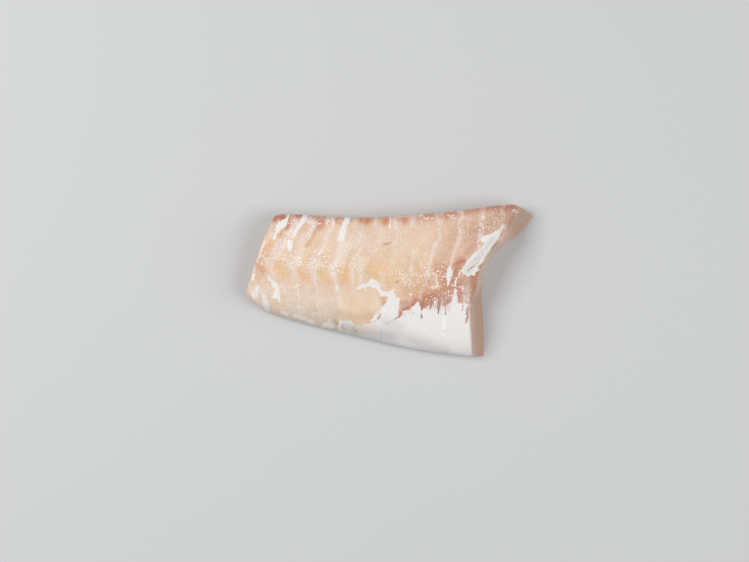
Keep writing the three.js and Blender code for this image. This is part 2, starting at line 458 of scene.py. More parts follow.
FLECKS = [
    (-0.6, [(466, 290, 8), (467, 302, 8)]),
    (-0.8, [(471, 290, 5), (471, 300, 5)]),
    (-0.3, [(379, 302, 3), (377, 310, 5)]),
    (-0.9, [(426, 303, 5), (437, 301, 7), (450, 300, 7)]),
]

for path in WHITE_STROKES:
    reach = np.maximum(reach, stroke_reach(path))
for path in HOLES:
    reach = np.minimum(reach, -stroke_reach(path))
for limit_mm, path in FLECKS:
    reach = np.maximum(reach, np.minimum(stroke_reach(path), limit_mm * MM))
print("share of the top under membrane:", round(float((reach[:TOP_POINTS] > 0).mean()), 3))

# %% [markdown]
# Seen from the side, a strip of membrane ends a few millimetres below the rim, while the belly's sheet
# wraps round its edge down to the board. The underside has none. So the reach shrinks with the depth
# below the rim.

# %% Membrane on the sides
WRAP = 0.5
NO_MEMBRANE = -5 * MM
depth = (1 - level) * top_height(u, v, x, y)
on_belly_side = place_j == 0
reach = reach - np.where(on_belly_side, 0, WRAP * depth)
inner = np.arange(x.size) >= TOP_POINTS + SIDE_POINTS
reach[inner] = NO_MEMBRANE
on_cut = np.zeros(x.shape, bool)
on_cut[TOP_POINTS:TOP_POINTS + SIDE_POINTS] = np.tile((rim[:, 0] == 0) | (rim[:, 0] == ALONG), UP)
on_head = on_cut & (place_i == ALONG)
print("deepest rim, mm:", round(float(depth.max()) / MM, 1))

# %% [markdown]
# The belly sheet is torn along its upper edge into upright fibres, while the strips have nearly clean
# edges. So each point says how ragged an edge may be there. At its tail end the sheet is thin, and
# streaks of flesh show through it. Greyer parts of the membrane, low on the belly sheet and on the head
# strip, are painted shade. Thin parts and painted shade are soft strokes, so one function adds them up.

# %% Torn edges
RAGGED = 1.4 * MM
CLEAN = 0.4 * MM
TORN_FADE = (-4 * MM, 2 * MM)
TORN_EDGES = [[(433, 305, 12), (455, 296, 22), (467, 296, 22)], [(336, 322, 6), (332, 336, 8)]]
torn = np.maximum.reduce([stroke_reach(path) for path in TORN_EDGES])
ragged = CLEAN + (RAGGED - CLEAN) * smooth(torn, *TORN_FADE)
print("ragged edges on a share of:", round(float((ragged[:TOP_POINTS] > RAGGED / 2).mean()), 3))

# %% Thin membrane and painted shade on it
THIN_STROKES = [
    (1.0, 1.5, [(336, 323, 3.5), (336.5, 331, 3.5)]),
    (1.0, 1.5, [(342.5, 325, 3), (343, 334, 3.5)]),
    (1.0, 1.5, [(354.5, 326, 4.5), (355, 336, 5)]),
    (0.5, 5, [(345, 328, 12), (372, 329, 8)]),
    (0.7, 1, [(381.5, 331, 1), (380.5, 341, 1.6)]),
    # These two strokes let the painted shadow of a wine spot below show through the sheet.
    (0.95, 0.8, [(398.5, 316.8, 1.8), (393.5, 320, 1.8)]),
    (0.5, 0.8, [(393, 320.4, 1.2), (386, 325, 1.2)]),
    (0.6, 1.2, [(376.5, 326, 1.4), (377, 327, 1.4)]),
    (0.3, 3, [(400, 314, 4), (412, 313, 4)]),
    (0.6, 3, [(428, 306, 8), (447, 306, 8)]),
    (0.6, 1.5, [(469.5, 308, 3), (470, 326, 2)]),
    (0.6, 1.5, [(499, 231, 4), (505, 227, 4)]),
    (0.6, 0.7, [(496, 235, 0.8), (488, 247, 0.9), (479, 259, 1)]),
    (0.6, 0.7, [(490.5, 241, 0.7), (481, 253.5, 0.8), (471, 263, 0.9)]),
    (0.7, 0.7, [(484, 255, 0.8), (477, 262, 1)]),
]
# Painted shade that greys the membrane, low on the belly sheet and on the head strip.
SHADED_MEMBRANE_STROKES = [
    (0.95, 10, [(345, 332, 12), (392, 336, 12)]),
    (0.5, 3, [(468, 271, 8), (492, 240, 6)]),
    (0.5, 6, [(384, 322, 8), (400, 327, 8)]),
    (0.6, 8, [(390, 330, 8), (425, 345, 8), (445, 353, 8)]),
]


def add_up(strokes):
    """The strongest of some soft strokes at each point. A stroke is its strength, softness and path."""
    cover = np.zeros(x.shape)
    for strength, softness, path in strokes:
        cover = np.maximum(cover, strength * soft_stroke(path, softness))
    return cover


thin = add_up(THIN_STROKES)
shaded_membrane = add_up(SHADED_MEMBRANE_STROKES)
print("thin strokes:", len(THIN_STROKES), "dull strokes:", len(SHADED_MEMBRANE_STROKES))

# %% [markdown]
# The largest glints of the wet surface are placed one by one, as pale strokes. Like the film below, they
# fade out a few millimetres down the sides, which the picture doesn't show.

# %% Large glints
SIDE_FADE = 5 * MM
BRIGHT_STROKES = [
    (0.9, 1.2, [(443.5, 320, 2), (444.5, 325, 3)]),
    (0.8, 1, [(442.4, 328.4, 1.6), (444.8, 328.8, 1.2)]),
    (0.6, 1.5, [(442, 332.5, 1.6), (445, 336, 2)]),
    (0.5, 2, [(444.5, 311, 2), (443.5, 317, 3)]),
    (0.4, 2, [(424, 328, 2), (427, 331, 2)]),
    (0.8, 0.5, [(447, 214.4, 1), (449.6, 215.8, 1)]),
    (0.9, 0.5, [(450.4, 216.6, 1), (453.8, 215.6, 1.2)]),
    (0.9, 0.5, [(451, 218.6, 1.2), (454.6, 218.4, 1)]),
    (0.9, 0.8, [(458.6, 212, 2), (459.4, 212.2, 1.6)]),
    (0.8, 0.6, [(514.4, 209.6, 1), (516.6, 212.6, 1.2)]),
    (0.7, 0.6, [(517.4, 210.4, 0.8), (519.4, 212.8, 1)]),
    (0.6, 0.6, [(514.6, 216, 1), (516.8, 214.8, 0.8)]),
    (0.75, 1, [(436, 274, 1.2), (436.6, 281, 2), (437, 287.5, 2.8)]),
    (0.8, 0.8, [(433.4, 287.6, 1.2), (437.6, 287.8, 1.6)]),
    (0.7, 0.8, [(408.6, 294.4, 1.4), (411.6, 295, 1.8)]),
    (0.7, 0.8, [(421.4, 263.6, 1.4), (421.8, 265, 1)]),
    (0.9, 0.5, [(421, 215.8, 1.6), (422.6, 215.4, 1.2)]),
    (0.9, 0.5, [(423.6, 216.6, 1), (424.6, 218.4, 1.2)]),
    (0.9, 0.5, [(426.6, 219.2, 1.4), (428, 218, 1.6)]),
    (0.9, 0.5, [(432.4, 218.4, 1.2), (433, 218.2, 1)]),
    (0.8, 0.5, [(421.4, 221.6, 1.2), (422, 222, 1)]),
    (0.8, 0.6, [(259, 256.6, 1), (262.8, 255.4, 1.2)]),
    (0.8, 0.6, [(259.8, 265.4, 1), (262.6, 264, 1.2)]),
    (0.8, 0.6, [(256.8, 261, 1.6), (258, 262.4, 1)]),
    (0.7, 0.6, [(283.5, 258.8, 1.4), (286, 259.2, 1)]),
    (0.7, 0.6, [(299.8, 258.5, 1), (298.6, 262.6, 1)]),
    (0.7, 0.6, [(319, 265.4, 1), (324.6, 265.2, 1)]),
    (0.6, 0.6, [(466, 258.8, 1.4), (467.6, 259.4, 1)]),
]
bright = add_up(BRIGHT_STROKES) * (1 - smooth(depth, 0, SIDE_FADE))
print("large glints:", len(BRIGHT_STROKES))

# %% [markdown]
# Film too thin to hide the flesh whitens it: in patches on the belly's rim, in milky gaps along the back
# edge, beside the tears, and in fine threads of tendon that follow the sheets between flakes near the
# tail.

# %% Milky film
MILKY_STROKES = [
    (0.2, 4, [(466, 283, 8), (468, 300, 10), (468, 314, 6)]),
    (0.5, 3, [(466, 297, 8), (466, 305, 9)]),
    (0.7, 1.2, [(499.5, 231, 4), (503.5, 226.5, 4.5), (504.5, 228, 3)]),
    (0.55, 1, [(413, 253, 1.4), (411.8, 262, 2), (410.6, 273, 1.8)]),
    (0.5, 1.2, [(373, 250.5, 1.5), (367, 262, 1.5)]),
    (0.5, 1.4, [(434.7, 244, 3), (431.8, 257, 3.4), (428.4, 268, 2.6), (426.2, 280, 2.2),
                (424.8, 288, 1.6)]),
    (0.5, 1.4, [(456.5, 243, 3), (453.8, 254, 3.6), (450.6, 265, 3)]),
    (0.55, 2.5, [(361, 259, 5), (361, 270, 6), (360, 282, 5)]),
    (0.45, 2, [(381, 272, 4), (384, 278, 3), (381, 286, 3)]),
    (0.8, 0.6, [(378, 272.6, 1), (391, 275.4, 1)]),
    (0.5, 3, [(349, 244, 5), (344, 254, 5), (337, 262, 5)]),
    (0.4, 2, [(289.5, 260, 5), (293, 268, 5), (297.5, 277, 3)]),
    (0.4, 2, [(310, 264, 5), (313.5, 272, 4.5), (315.5, 280, 3)]),
    (0.4, 2, [(330, 266, 5), (334, 274, 4), (337.5, 284, 2.5)]),
    (0.4, 2, [(266, 260, 3), (269, 267, 4), (271, 275, 3)]),
    (0.5, 2, [(308, 219, 6), (314, 225, 6), (308, 234, 3)]),
    (0.5, 2, [(284, 232, 3), (291, 232, 5), (296, 236, 3)]),
    (0.45, 2.5, [(284, 238, 4), (276, 248, 4), (271, 257, 4)]),
    (0.4, 2.5, [(303, 236, 4), (299, 246, 5), (296, 253, 4)]),
    (0.35, 2.5, [(349, 249, 4), (346, 256, 4), (342, 265, 4)]),
    (0.4, 1.5, [(420.5, 287, 2), (420.5, 299, 2.4)]),
    (0.4, 3, [(376, 316, 5), (381, 311, 4)]),
    (0.45, 2, [(283, 287, 3), (281, 284, 3)]),
]
BACK_GAPS = [
    (0.4, 2, [(354.5, 219, 4), (355, 229, 4)]),
    (0.5, 1.5, [(376, 219, 4), (375, 226, 3)]),
    (0.5, 1.5, [(394.5, 218, 4), (395, 228, 4)]),
    (0.45, 2, [(413, 217, 6), (413, 225, 5)]),
    (0.5, 1.2, [(333, 218, 4), (333.4, 227, 3)]),
    (0.55, 1.2, [(327.5, 217, 2), (326, 224, 2)]),
    (0.6, 0.8, [(394, 217.4, 1.2), (410, 215.8, 1.2), (423, 214.6, 1.2)]),
    (0.6, 0.8, [(292.6, 216, 1), (291, 229, 1)]),
    (0.6, 0.8, [(295, 217, 1), (293.6, 226, 1)]),
    (0.5, 1.5, [(437, 213, 3), (437.5, 224, 3)]),
]
film = add_up(MILKY_STROKES + BACK_GAPS)
print("milky strokes:", len(MILKY_STROKES), "gaps along the back:", len(BACK_GAPS))

# %% Film on the belly's rim
RIM_PATCHES = [
    (1.0, 1.2, [(263.5, 296, 3.6), (265.2, 303, 7), (266.5, 310, 6)]),
    (0.6, 2, [(261, 290, 3), (263, 296, 4)]),
    (0.85, 1.5, [(256.5, 287, 4), (255.5, 293, 5)]),
    (0.85, 1.5, [(251.5, 292, 3.6), (254, 296.5, 4.6)]),
    (0.5, 1, [(262, 281, 1), (265.5, 290, 1), (267.5, 296, 1)]),
    (0.5, 1, [(267, 284, 1), (270.5, 295, 1)]),
    (0.95, 1.2, [(282, 312.2, 3), (286.5, 314.5, 3.6)]),
    (0.95, 1.2, [(294, 316, 4), (300, 317.5, 5), (304, 318.5, 4)]),
    (0.95, 1.2, [(307.5, 321, 4), (313, 322.5, 4)]),
    (0.8, 0.8, [(313, 314.8, 1.6), (315.4, 313, 1.8)]),
    (0.7, 0.8, [(297.6, 306, 2), (299.4, 308, 2)]),
    (0.95, 1.2, [(322.5, 326, 4), (327, 325, 6), (332, 326, 6)]),
    (0.9, 0.8, [(330, 318.6, 1), (328.6, 322, 2)]),
]
film = np.maximum(film, add_up(RIM_PATCHES))
print("patches on the rim:", len(RIM_PATCHES))

# %% Threads of tendon
THREADS = [
    [(291.5, 234.5, 1), (283.5, 240.5, 1), (277, 247.5, 1), (272, 254, 1), (268, 261, 1)],
    [(284.5, 236.5, 1), (278.5, 243, 1), (273, 249.5, 1), (270, 255, 1)],
    [(291, 230, 0.8), (284.5, 236.5, 0.8)],
    [(287.5, 237.5, 0.8), (283, 242.5, 0.8), (280.5, 247.5, 0.8)],
    [(281, 239.5, 0.7), (275.5, 246.5, 0.7), (271.5, 252.5, 0.7)],
    [(298, 290, 0.8), (298.8, 296, 1.1), (299.6, 302, 0.7)],
]
LOWER_THREADS = [
    [(315.5, 280, 1.2), (316.6, 286, 1.2), (318.5, 294, 0.8)],
    [(284, 287, 0.8), (289.5, 310, 0.8)],
    [(337, 282, 1), (338.4, 289, 1), (339.5, 298, 0.6)],
    [(297, 279, 1), (298, 285, 1)],
]
THREAD_STRENGTH = 0.9
LOWER_THREAD_STRENGTH = 0.5
THREAD_SOFTNESS = 0.6
FILM_SHOWS = 0.2
thread_strokes = [(THREAD_STRENGTH, THREAD_SOFTNESS, path) for path in THREADS]
thread_strokes += [(LOWER_THREAD_STRENGTH, THREAD_SOFTNESS, path) for path in LOWER_THREADS]
film = np.maximum(film, add_up(thread_strokes)) * (1 - smooth(depth, 0, SIDE_FADE))
print("film covers, share:", round(float((film[:TOP_POINTS] > FILM_SHOWS).mean()), 3))

# %% [markdown]
# Fresh cod isn't one colour. It is cream in the middle, pink towards the head, brick red in the muscle
# along the back edge, and stained with blood near the head cut. A small palette names the tones, and
# broad soft strokes of them, one over another, paint each mesh point. Painting points keeps the shader
# short, and the shader then adds everything finer.

# %% Palette
PALETTE = {
    "cream": "e8cdb5", "pale cream": "eed6bd", "straw": "eaccad", "milk": "e7d4c5", "ash": "dfcfc1",
    "smoke": "d2c8bc", "oat": "d5bda8", "dun": "c2ab95", "sand": "d1b08c", "butter": "ecc08b",
    "honey": "e1b68d", "apricot": "d9aa85", "amber": "d69f76", "caramel": "c68c73", "tan": "b7876a",
    "blush": "dfbea8", "pink": "d7b39d", "rose": "d0a38d", "dusk": "c29883", "mauve": "cb998a",
    "lilac": "c6a69b", "plum": "bb8c7f", "clay": "c58f81", "salmon": "cf9579", "coral": "cf8d6d",
    "chestnut": "c0866d", "brick": "be7a65", "blood": "b67262", "rust": "b5664b", "liver": "ad7a64",
    "wine": "a1776b", "ink": "957a70", "umber": "ab8b77",
}

tone = np.tile(linear(PALETTE["cream"]), (x.size, 1))


def paint(hex_colour, cover):
    """Lays one tone over the mesh points, by its cover from 0 to 1."""
    tone[:] += (linear(hex_colour) - tone) * cover[:, None]


print("tones in the palette:", len(PALETTE))

# %% Broad tones
TONES = [
    ("straw", 0.8, 10, [(262, 266, 10), (300, 268, 14), (345, 272, 18), (400, 272, 22)]),
    ("blush", 0.9, 12, [(275, 220, 8), (330, 220, 8), (400, 220, 10), (470, 214, 12)]),
    ("milk", 0.65, 8, [(345, 237, 12), (372, 238, 14), (402, 240, 12)]),
    ("blush", 0.9, 12, [(268, 236, 8), (258, 262, 12), (252, 280, 10)]),
    ("apricot", 0.75, 6, [(265, 234, 4), (258, 250, 6), (254, 260, 6)]),
    ("pink", 0.95, 14, [(442, 262, 8), (456, 236, 24), (472, 228, 36), (490, 220, 28), (512, 212, 20)]),
    ("dusk", 0.5, 8, [(474, 240, 12), (488, 226, 16), (505, 214, 14)]),
    ("liver", 0.6, 8, [(496, 207, 6), (512, 210, 12), (512, 218, 12)]),
    ("apricot", 0.9, 9, [(412, 298, 6), (432, 288, 12), (446, 276, 20), (460, 262, 12)]),
    ("brick", 0.95, 6, [(414, 301, 3), (425, 300, 7), (434, 297, 6)]),
    ("clay", 0.8, 6, [(436, 298, 8), (447, 297, 8), (460, 284, 5)]),
    ("caramel", 0.8, 6, [(442, 290, 8), (454, 284, 8)]),
    ("plum", 0.85, 4, [(428, 308, 6), (441, 304, 8), (451, 302, 8)]),
    ("brick", 0.7, 4, [(463, 282, 8), (466, 304, 6), (467, 320, 4)]),
    ("tan", 0.9, 3, [(475, 268, 6), (472.5, 282, 7), (473, 298, 6)]),
    ("blood", 0.8, 4, [(400, 314, 6), (460, 314, 10)]),
    ("pale cream", 0.9, 10, [(345, 304, 24), (368, 302, 24)]),
    ("milk", 0.85, 9, [(278, 292, 10), (300, 296, 18), (332, 300, 14)]),
    # Ash greys the flesh towards the belly rim: partly painted shade, where the rim curves down.
    ("ash", 0.6, 8, [(296, 307, 12), (335, 312, 12)]),
    ("milk", 0.6, 6, [(254, 284, 8), (260, 298, 10)]),
    ("sand", 0.6, 5, [(357, 319, 8), (371, 316, 8)]),
    ("oat", 0.6, 5, [(338, 315, 8), (350, 317, 8)]),
    ("apricot", 0.75, 6, [(404, 291, 8), (418, 291, 10), (430, 282, 10)]),
    ("caramel", 0.75, 6, [(440, 270, 12), (451, 281, 16), (458, 292, 12)]),
    ("dusk", 0.9, 4, [(465, 279, 9), (466, 296, 10), (467, 316, 10)]),
    ("dusk", 0.85, 4, [(509, 222, 8), (498, 238, 8), (488, 254, 7), (481, 266, 7)]),
    ("tan", 0.85, 4, [(476.5, 270, 8), (474, 284, 8), (474, 297, 6)]),
    ("mauve", 0.55, 4, [(461, 262, 8), (457, 272, 8), (455, 282, 6), (459, 294, 6)]),
    # Ash and smoke grey the flesh further towards the belly rim: partly painted shade, where the rim
    # curves down.
    ("ash", 0.85, 9, [(258, 296, 8), (270, 308, 8), (300, 314, 10)]),
    ("smoke", 0.85, 9, [(300, 317, 8), (335, 322, 8)]),
]
for name, strength, softness, path in TONES:
    paint(PALETTE[name], strength * soft_stroke(path, softness))
print("mean tone:", np.round(tone.mean(axis=0), 3))

# %% Spots and stains
SPOTS = [
    ("amber", 0.8, 4, [(256, 264, 4), (263, 270, 4)]),
    ("apricot", 0.8, 3, [(316.5, 229, 5), (312, 237, 6), (307, 245, 5)]),
    ("honey", 0.8, 3, [(269, 242, 6), (264, 250, 6)]),
    ("amber", 0.8, 3, [(266.5, 235, 3), (261, 250, 3)]),
    ("apricot", 0.8, 2.5, [(284, 230, 4), (280, 236, 4)]),
    ("dusk", 0.8, 2, [(275, 223, 3), (272, 229, 3)]),
    ("umber", 0.7, 0.8, [(286, 235.6, 0.9), (278.5, 244, 0.9)]),
    ("umber", 0.7, 0.8, [(283.5, 241.5, 0.9), (278, 248, 0.9)]),
    ("butter", 0.75, 4, [(272, 266, 5), (281, 269, 5)]),
    ("butter", 0.8, 3, [(281, 273, 3), (285, 275, 3)]),
    ("butter", 0.75, 4, [(299, 273, 4), (307, 278, 4)]),
    ("butter", 0.75, 4, [(320, 273, 5), (326, 278, 6)]),
    ("butter", 0.9, 5, [(343, 270, 7), (346, 279, 8)]),
    ("butter", 0.7, 6, [(372, 266, 8), (392, 280, 9)]),
    ("honey", 0.8, 3, [(369, 272, 4), (377, 276, 4)]),
    ("honey", 0.7, 5, [(412, 262, 6), (420, 272, 8), (414, 282, 6)]),
    ("amber", 0.75, 4, [(434, 262, 5), (438, 274, 6)]),
    ("mauve", 0.85, 4, [(457, 262, 5), (465, 259.5, 4)]),
    ("blood", 0.7, 2, [(456, 263.5, 2), (467, 259.8, 2)]),
    ("caramel", 0.9, 3, [(458, 268, 5), (454.5, 276, 4)]),
    ("rose", 0.9, 3, [(402, 304, 8), (409, 303, 6)]),
    ("brick", 0.75, 2, [(458.6, 284, 3), (459.2, 298, 4), (459.6, 304, 4)]),
    ("blush", 0.4, 4, [(448, 234, 5), (451, 242, 5)]),
    ("blood", 0.85, 2, [(403, 309.4, 3), (410, 307.2, 4), (415.5, 303.4, 3)]),
    ("brick", 0.85, 2.5, [(422.5, 306, 5), (427.5, 304.5, 5)]),
    ("wine", 0.9, 1.2, [(421.8, 303, 2.6), (421.8, 311, 1.6)]),
    ("ink", 0.9, 1, [(421.6, 313.5, 1.6), (421.6, 318, 1.8)]),
    ("wine", 0.9, 1, [(463.4, 305.5, 1.6), (462.6, 310, 1.4)]),
    ("wine", 0.9, 1.2, [(431.4, 302, 2.4), (431.2, 310, 1.6)]),
    ("wine", 0.8, 1.2, [(438.7, 304, 2), (438.5, 313, 1.6)]),
    ("plum", 0.7, 1.2, [(445.3, 305, 1.6), (445.2, 314, 1.4)]),
    ("wine", 0.7, 1.5, [(467.4, 307, 3), (466.6, 316, 2)]),
    ("rose", 0.75, 4, [(467, 253, 8), (476, 246, 8)]),
    ("brick", 0.8, 2, [(384, 244.5, 1.5), (391, 243, 1)]),
    ("ink", 0.8, 1.2, [(396, 282.4, 1.2), (398.4, 282, 1)]),
    ("apricot", 0.9, 3, [(383, 299, 4), (384, 306, 3)]),
    ("amber", 0.6, 5, [(441, 216, 6), (446, 219, 6)]),
    ("rose", 0.75, 5, [(420, 219, 7), (434, 217, 8), (447, 215, 8)]),
    ("blush", 0.5, 6, [(462, 222, 10), (490, 216, 10)]),
    ("honey", 0.6, 6, [(267, 238, 8), (258, 256, 8)]),
    ("lilac", 0.85, 2.5, [(470.6, 304, 3), (471.2, 326, 4), (472.5, 352, 4)]),
    ("brick", 0.7, 4, [(427, 297, 6), (434, 295, 7)]),
    ("clay", 0.4, 4, [(442, 296, 6), (450, 296, 6)]),
    ("dun", 0.9, 4, [(336, 326, 10), (358, 331, 10)]),
    ("dun", 0.9, 3, [(381, 331, 3), (380.5, 341, 3)]),
    # A soft dark streak across the sheet at its tear: painted shadow.
    ("wine", 0.9, 2, [(385, 325, 2), (392, 321, 2), (398, 317, 3)]),
    ("dusk", 0.9, 2, [(379.5, 314, 3), (378.5, 319, 4)]),
    ("lilac", 0.9, 3, [(480, 254, 6), (470, 270, 6)]),
    ("lilac", 0.8, 3, [(293, 217, 5), (292, 226, 4)]),
]
for name, strength, softness, path in SPOTS:
    paint(PALETTE[name], strength * soft_stroke(path, softness))
print("mean tone:", np.round(tone.mean(axis=0), 3))

# %% [markdown]
# Red muscle lies along the back edge, in one block per flake. Its blocks are strokes on the rounded edge.
# The side below them, which the picture doesn't show, goes back to the pale flesh of a fillet's side.

# %% Red muscle along the back edge
BACK_REDS = [
    ("rust", [(275, 219, 6), (282, 217.5, 7)]),
    ("brick", [(288.5, 221, 3), (287, 229, 3)]),
    ("rust", [(298, 216, 5), (301, 215, 5)]),
    ("salmon", [(317, 218.5, 6), (321.5, 221.5, 9), (319.5, 226, 7)]),
    ("coral", [(338, 220, 6), (341, 218, 7)]),
    ("coral", [(362, 220, 6), (367, 221, 8)]),
    ("coral", [(383, 220, 6), (385.5, 222, 7)]),
    ("salmon", [(401.5, 219, 5), (404.5, 221, 7)]),
    ("salmon", [(425, 216, 5), (432, 215, 5)]),
    ("salmon", [(444, 214, 5), (454, 213, 5)]),
    ("salmon", [(466, 210, 5), (478, 209, 4)]),
    ("chestnut", [(488, 207, 5), (499, 206, 5)]),
    ("chestnut", [(507, 207, 6), (513, 207, 6)]),
]
BACK_RED_SOFTNESS = 3.5
BACK_SIDE = "cfa28d"
BACK_SIDE_COVER = 0.7
BACK_SIDE_ACROSS = (0.93, 0.99)
BACK_LOW = "dcbda9"
BACK_LOW_COVER = 0.85
BACK_LOW_DEPTH = (1 * MM, 7 * MM)
on_back_side = place_j == ACROSS
paint(BACK_SIDE, BACK_SIDE_COVER * smooth(v, *BACK_SIDE_ACROSS))
for name, path in BACK_REDS:
    paint(PALETTE[name], soft_stroke(path, BACK_RED_SOFTNESS))
paint(BACK_LOW, BACK_LOW_COVER * on_back_side * smooth(depth, *BACK_LOW_DEPTH))
print("mean tone:", np.round(tone.mean(axis=0), 3))

# %% [markdown]
# The two cuts and the underside have tones of their own. The head cut is greyer at the nape, and towards
# the belly a paler band lies under its upper rim. Its steep bay is painted paler, as painted light
# against the shade that falls on it, and a pale line of painted light runs along the board in the bay and
# at the nape. A darker line marks the middle of the fish's side, on the cuts and underneath.

# %% Tones of the cuts
CUT_TONE = "c7a28a"
CUT_BLEND = 3 * MM
LIT_BAY_TONE = "e9c7af"
NAPE_CUT_TONE = "c0a697"
NAPE_CUT_COVER = 0.6
CUT_RIM_TONE = "cdb2a4"
CUT_RIM_COVER = 0.7
CUT_RIM_DEPTH = 3 * MM
# A pale line of painted light along the board.
BOARD_RIM_LIGHT = "e6d2c4"
BOARD_RIM_LIGHT_COVER = 0.4
BOARD_RIM_LIGHT_TOP = 0.22
cut_share = on_cut * smooth(depth, 0, CUT_BLEND)
in_bay = on_head * bay_share(v)
at_nape = on_head * smooth(v, *NAPE_CUT)
belly_cut = on_head * (1 - bay_share(v)) * (1 - smooth(v, *NAPE_CUT))
paint(CUT_TONE, cut_share)
# Painted light: the bay of the head cut is paler than the rest of the cut, against the shade on its face.
paint(LIT_BAY_TONE, cut_share * in_bay)
paint(NAPE_CUT_TONE, NAPE_CUT_COVER * cut_share * at_nape)
paint(CUT_RIM_TONE, CUT_RIM_COVER * belly_cut * hump((depth - CUT_RIM_DEPTH) / CUT_RIM_DEPTH))
# Painted light: a pale line just above the board, in the bay and at the nape, where the lower edge
# catches light.
paint(BOARD_RIM_LIGHT, BOARD_RIM_LIGHT_COVER * (in_bay + at_nape) * smooth(level, BOARD_RIM_LIGHT_TOP, 0))
print("mean tone:", np.round(tone.mean(axis=0), 3))

# %% Tones of the underside and the middle line
UNDER_TONE = "dcc3b0"
SIDE_LINE = "b78a74"
SIDE_LINE_COVER = 0.5
SIDE_LINE_TOP = 0.7
SIDE_LINE_HALF = 5 * MM
midline = above_midline(x, y)
line_on_cut = on_cut * hump(midline / (2 * SIDE_LINE_HALF)) * smooth(level, SIDE_LINE_TOP, 0)
paint(SIDE_LINE, SIDE_LINE_COVER * line_on_cut)
paint(UNDER_TONE, inner.astype(float))
paint(SIDE_LINE, inner * hump(midline / SIDE_LINE_HALF))
print("mean tone:", np.round(tone.mean(axis=0), 3))

# %% [markdown]
# The sheets between flakes show as milky bands, wide and soft at the tail, narrow and clear at the head,
# and hardly at all in the middle. Below the midline they are only fine lines. Each point gets the
# strength and the half width of a band there, and the shader draws it wherever the flake number is close
# to whole.

# %% Bands of the sheets
BAND_STRENGTH = [(250, 0.75), (345, 0.75), (360, 0.6), (372, 0.3), (425, 0.3), (436, 0.75), (520, 0.7)]
BAND_HALF_MM = [(250, 1.9), (340, 1.7), (430, 1.1)]
LOWER_STRENGTH = 0.35
LOWER_HALF_MM = 0.5
LOWER_REACH = 6.5 * MM
LOWER_END = (350, 390)
SMOOTH_BELLY = [(345, 304, 26), (368, 304, 26)]
SMOOTH_BELLY_SOFTNESS = 8
HIDDEN_BANDS = [
    (1.0, 4, [(432, 256, 16), (428, 300, 30)]),
    (1.0, 4, [(457, 254, 14), (454, 300, 30)]),
    (0.7, 6, [(412, 226, 16), (412, 262, 16)]),
    (0.6, 4, [(502, 205, 8), (503, 240, 12)]),
    (1.0, 3, [(475, 273, 9), (473, 300, 9)]),
]
BACK_CALM = 0.85
BACK_CALM_ACROSS = (0.86, 0.95)
BACK_CALM_ALONG = (340, 420)
BACK_SIDE_CALM = 0.45
BACK_SIDE_DEPTH = 4 * MM
HEAD_CUT_CALM = 0.85
UPPER_FADE = (-4 * MM, 3 * MM)
SHEET_LEAN = 0.7
CUT_LEAN = 1.7

flakes = flake_count(x, y) + np.where(on_cut, CUT_LEAN, SHEET_LEAN) * depth / FLAKE_PITCH
picture_x = x / PIXEL + FILLET_MIDDLE[0]
upper = smooth(midline, *UPPER_FADE)
below = np.maximum(-midline, 0)
near_midline = np.exp(-(below / LOWER_REACH) ** 2) * (1 - smooth(picture_x, *LOWER_END))
wide = np.maximum(upper, near_midline)
band_strength = LOWER_STRENGTH + (np.interp(picture_x, *zip(*BAND_STRENGTH)) - LOWER_STRENGTH) * wide
band_half = LOWER_HALF_MM + (np.interp(picture_x, *zip(*BAND_HALF_MM)) - LOWER_HALF_MM) * wide
belly_calm = soft_stroke(SMOOTH_BELLY, SMOOTH_BELLY_SOFTNESS)
back_calm = BACK_CALM * smooth(v, *BACK_CALM_ACROSS) * (1 - smooth(picture_x, *BACK_CALM_ALONG))
side_calm = BACK_SIDE_CALM * on_back_side * smooth(depth, 0, BACK_SIDE_DEPTH)
for calm in (belly_calm, back_calm, side_calm, HEAD_CUT_CALM * on_head, add_up(HIDDEN_BANDS)):
    band_strength = band_strength * (1 - calm)
print("widest band, mm:", round(2 * float(band_half.max()), 1))

# %% [markdown]
# Soft flesh rounds over at the rim of a cut. A chamfer would be too even, so the rim sinks by a share of
# the height there, less and less further in. The same distance to the rim tells the shader where a cut
# begins.

# %% Softened rim of the head cut
RIM_REACH = 2.6 * MM
RIM_SINK = 0.045
RIM_ROWS = 2
BAY_DRAG = 2.5 * MM
BELLY_LEAD = 1.6 * MM
BELLY_LEAD_AT = 0.21
BELLY_LEAD_SPREAD = 0.2
HEAD_HALF = 0.5
top_x = x[:TOP_POINTS].reshape(grid_i.shape)
top_y = y[:TOP_POINTS].reshape(grid_i.shape)
from_head = np.hypot(top_x - top_x[-1:], top_y - top_y[-1:])[place_i, place_j]
from_tail = np.hypot(top_x - top_x[:1], top_y - top_y[:1])[place_i, place_j]
past_rim = np.where(on_cut, depth, -np.minimum(from_head, from_tail))
belly_lead = BELLY_LEAD * hump((v - BELLY_LEAD_AT) / BELLY_LEAD_SPREAD)
past_rim = past_rim + (belly_lead - BAY_DRAG * bay_share(v)) * (u > HEAD_HALF)
softened = np.clip(1 - from_head / RIM_REACH, 0, 1) ** 2 * smooth(level, 1 - RIM_ROWS / UP, 1)
rim_drop = RIM_SINK * softened * top_height(u, v, x, y)
print("rim sinks by up to, mm:", round(float(rim_drop.max()) / MM, 2))

# %% [markdown]
# Wet flesh glitters where its surface is uneven. Each point gets a number for that: high where the flesh
# is open, low under the smooth belly sheet and on the knife cuts. Real ripples of a few hundredths of a
# millimetre then go into the mesh, as strong as that number. They come from a lattice of seeded random
# numbers, so each run gives the same ripples.

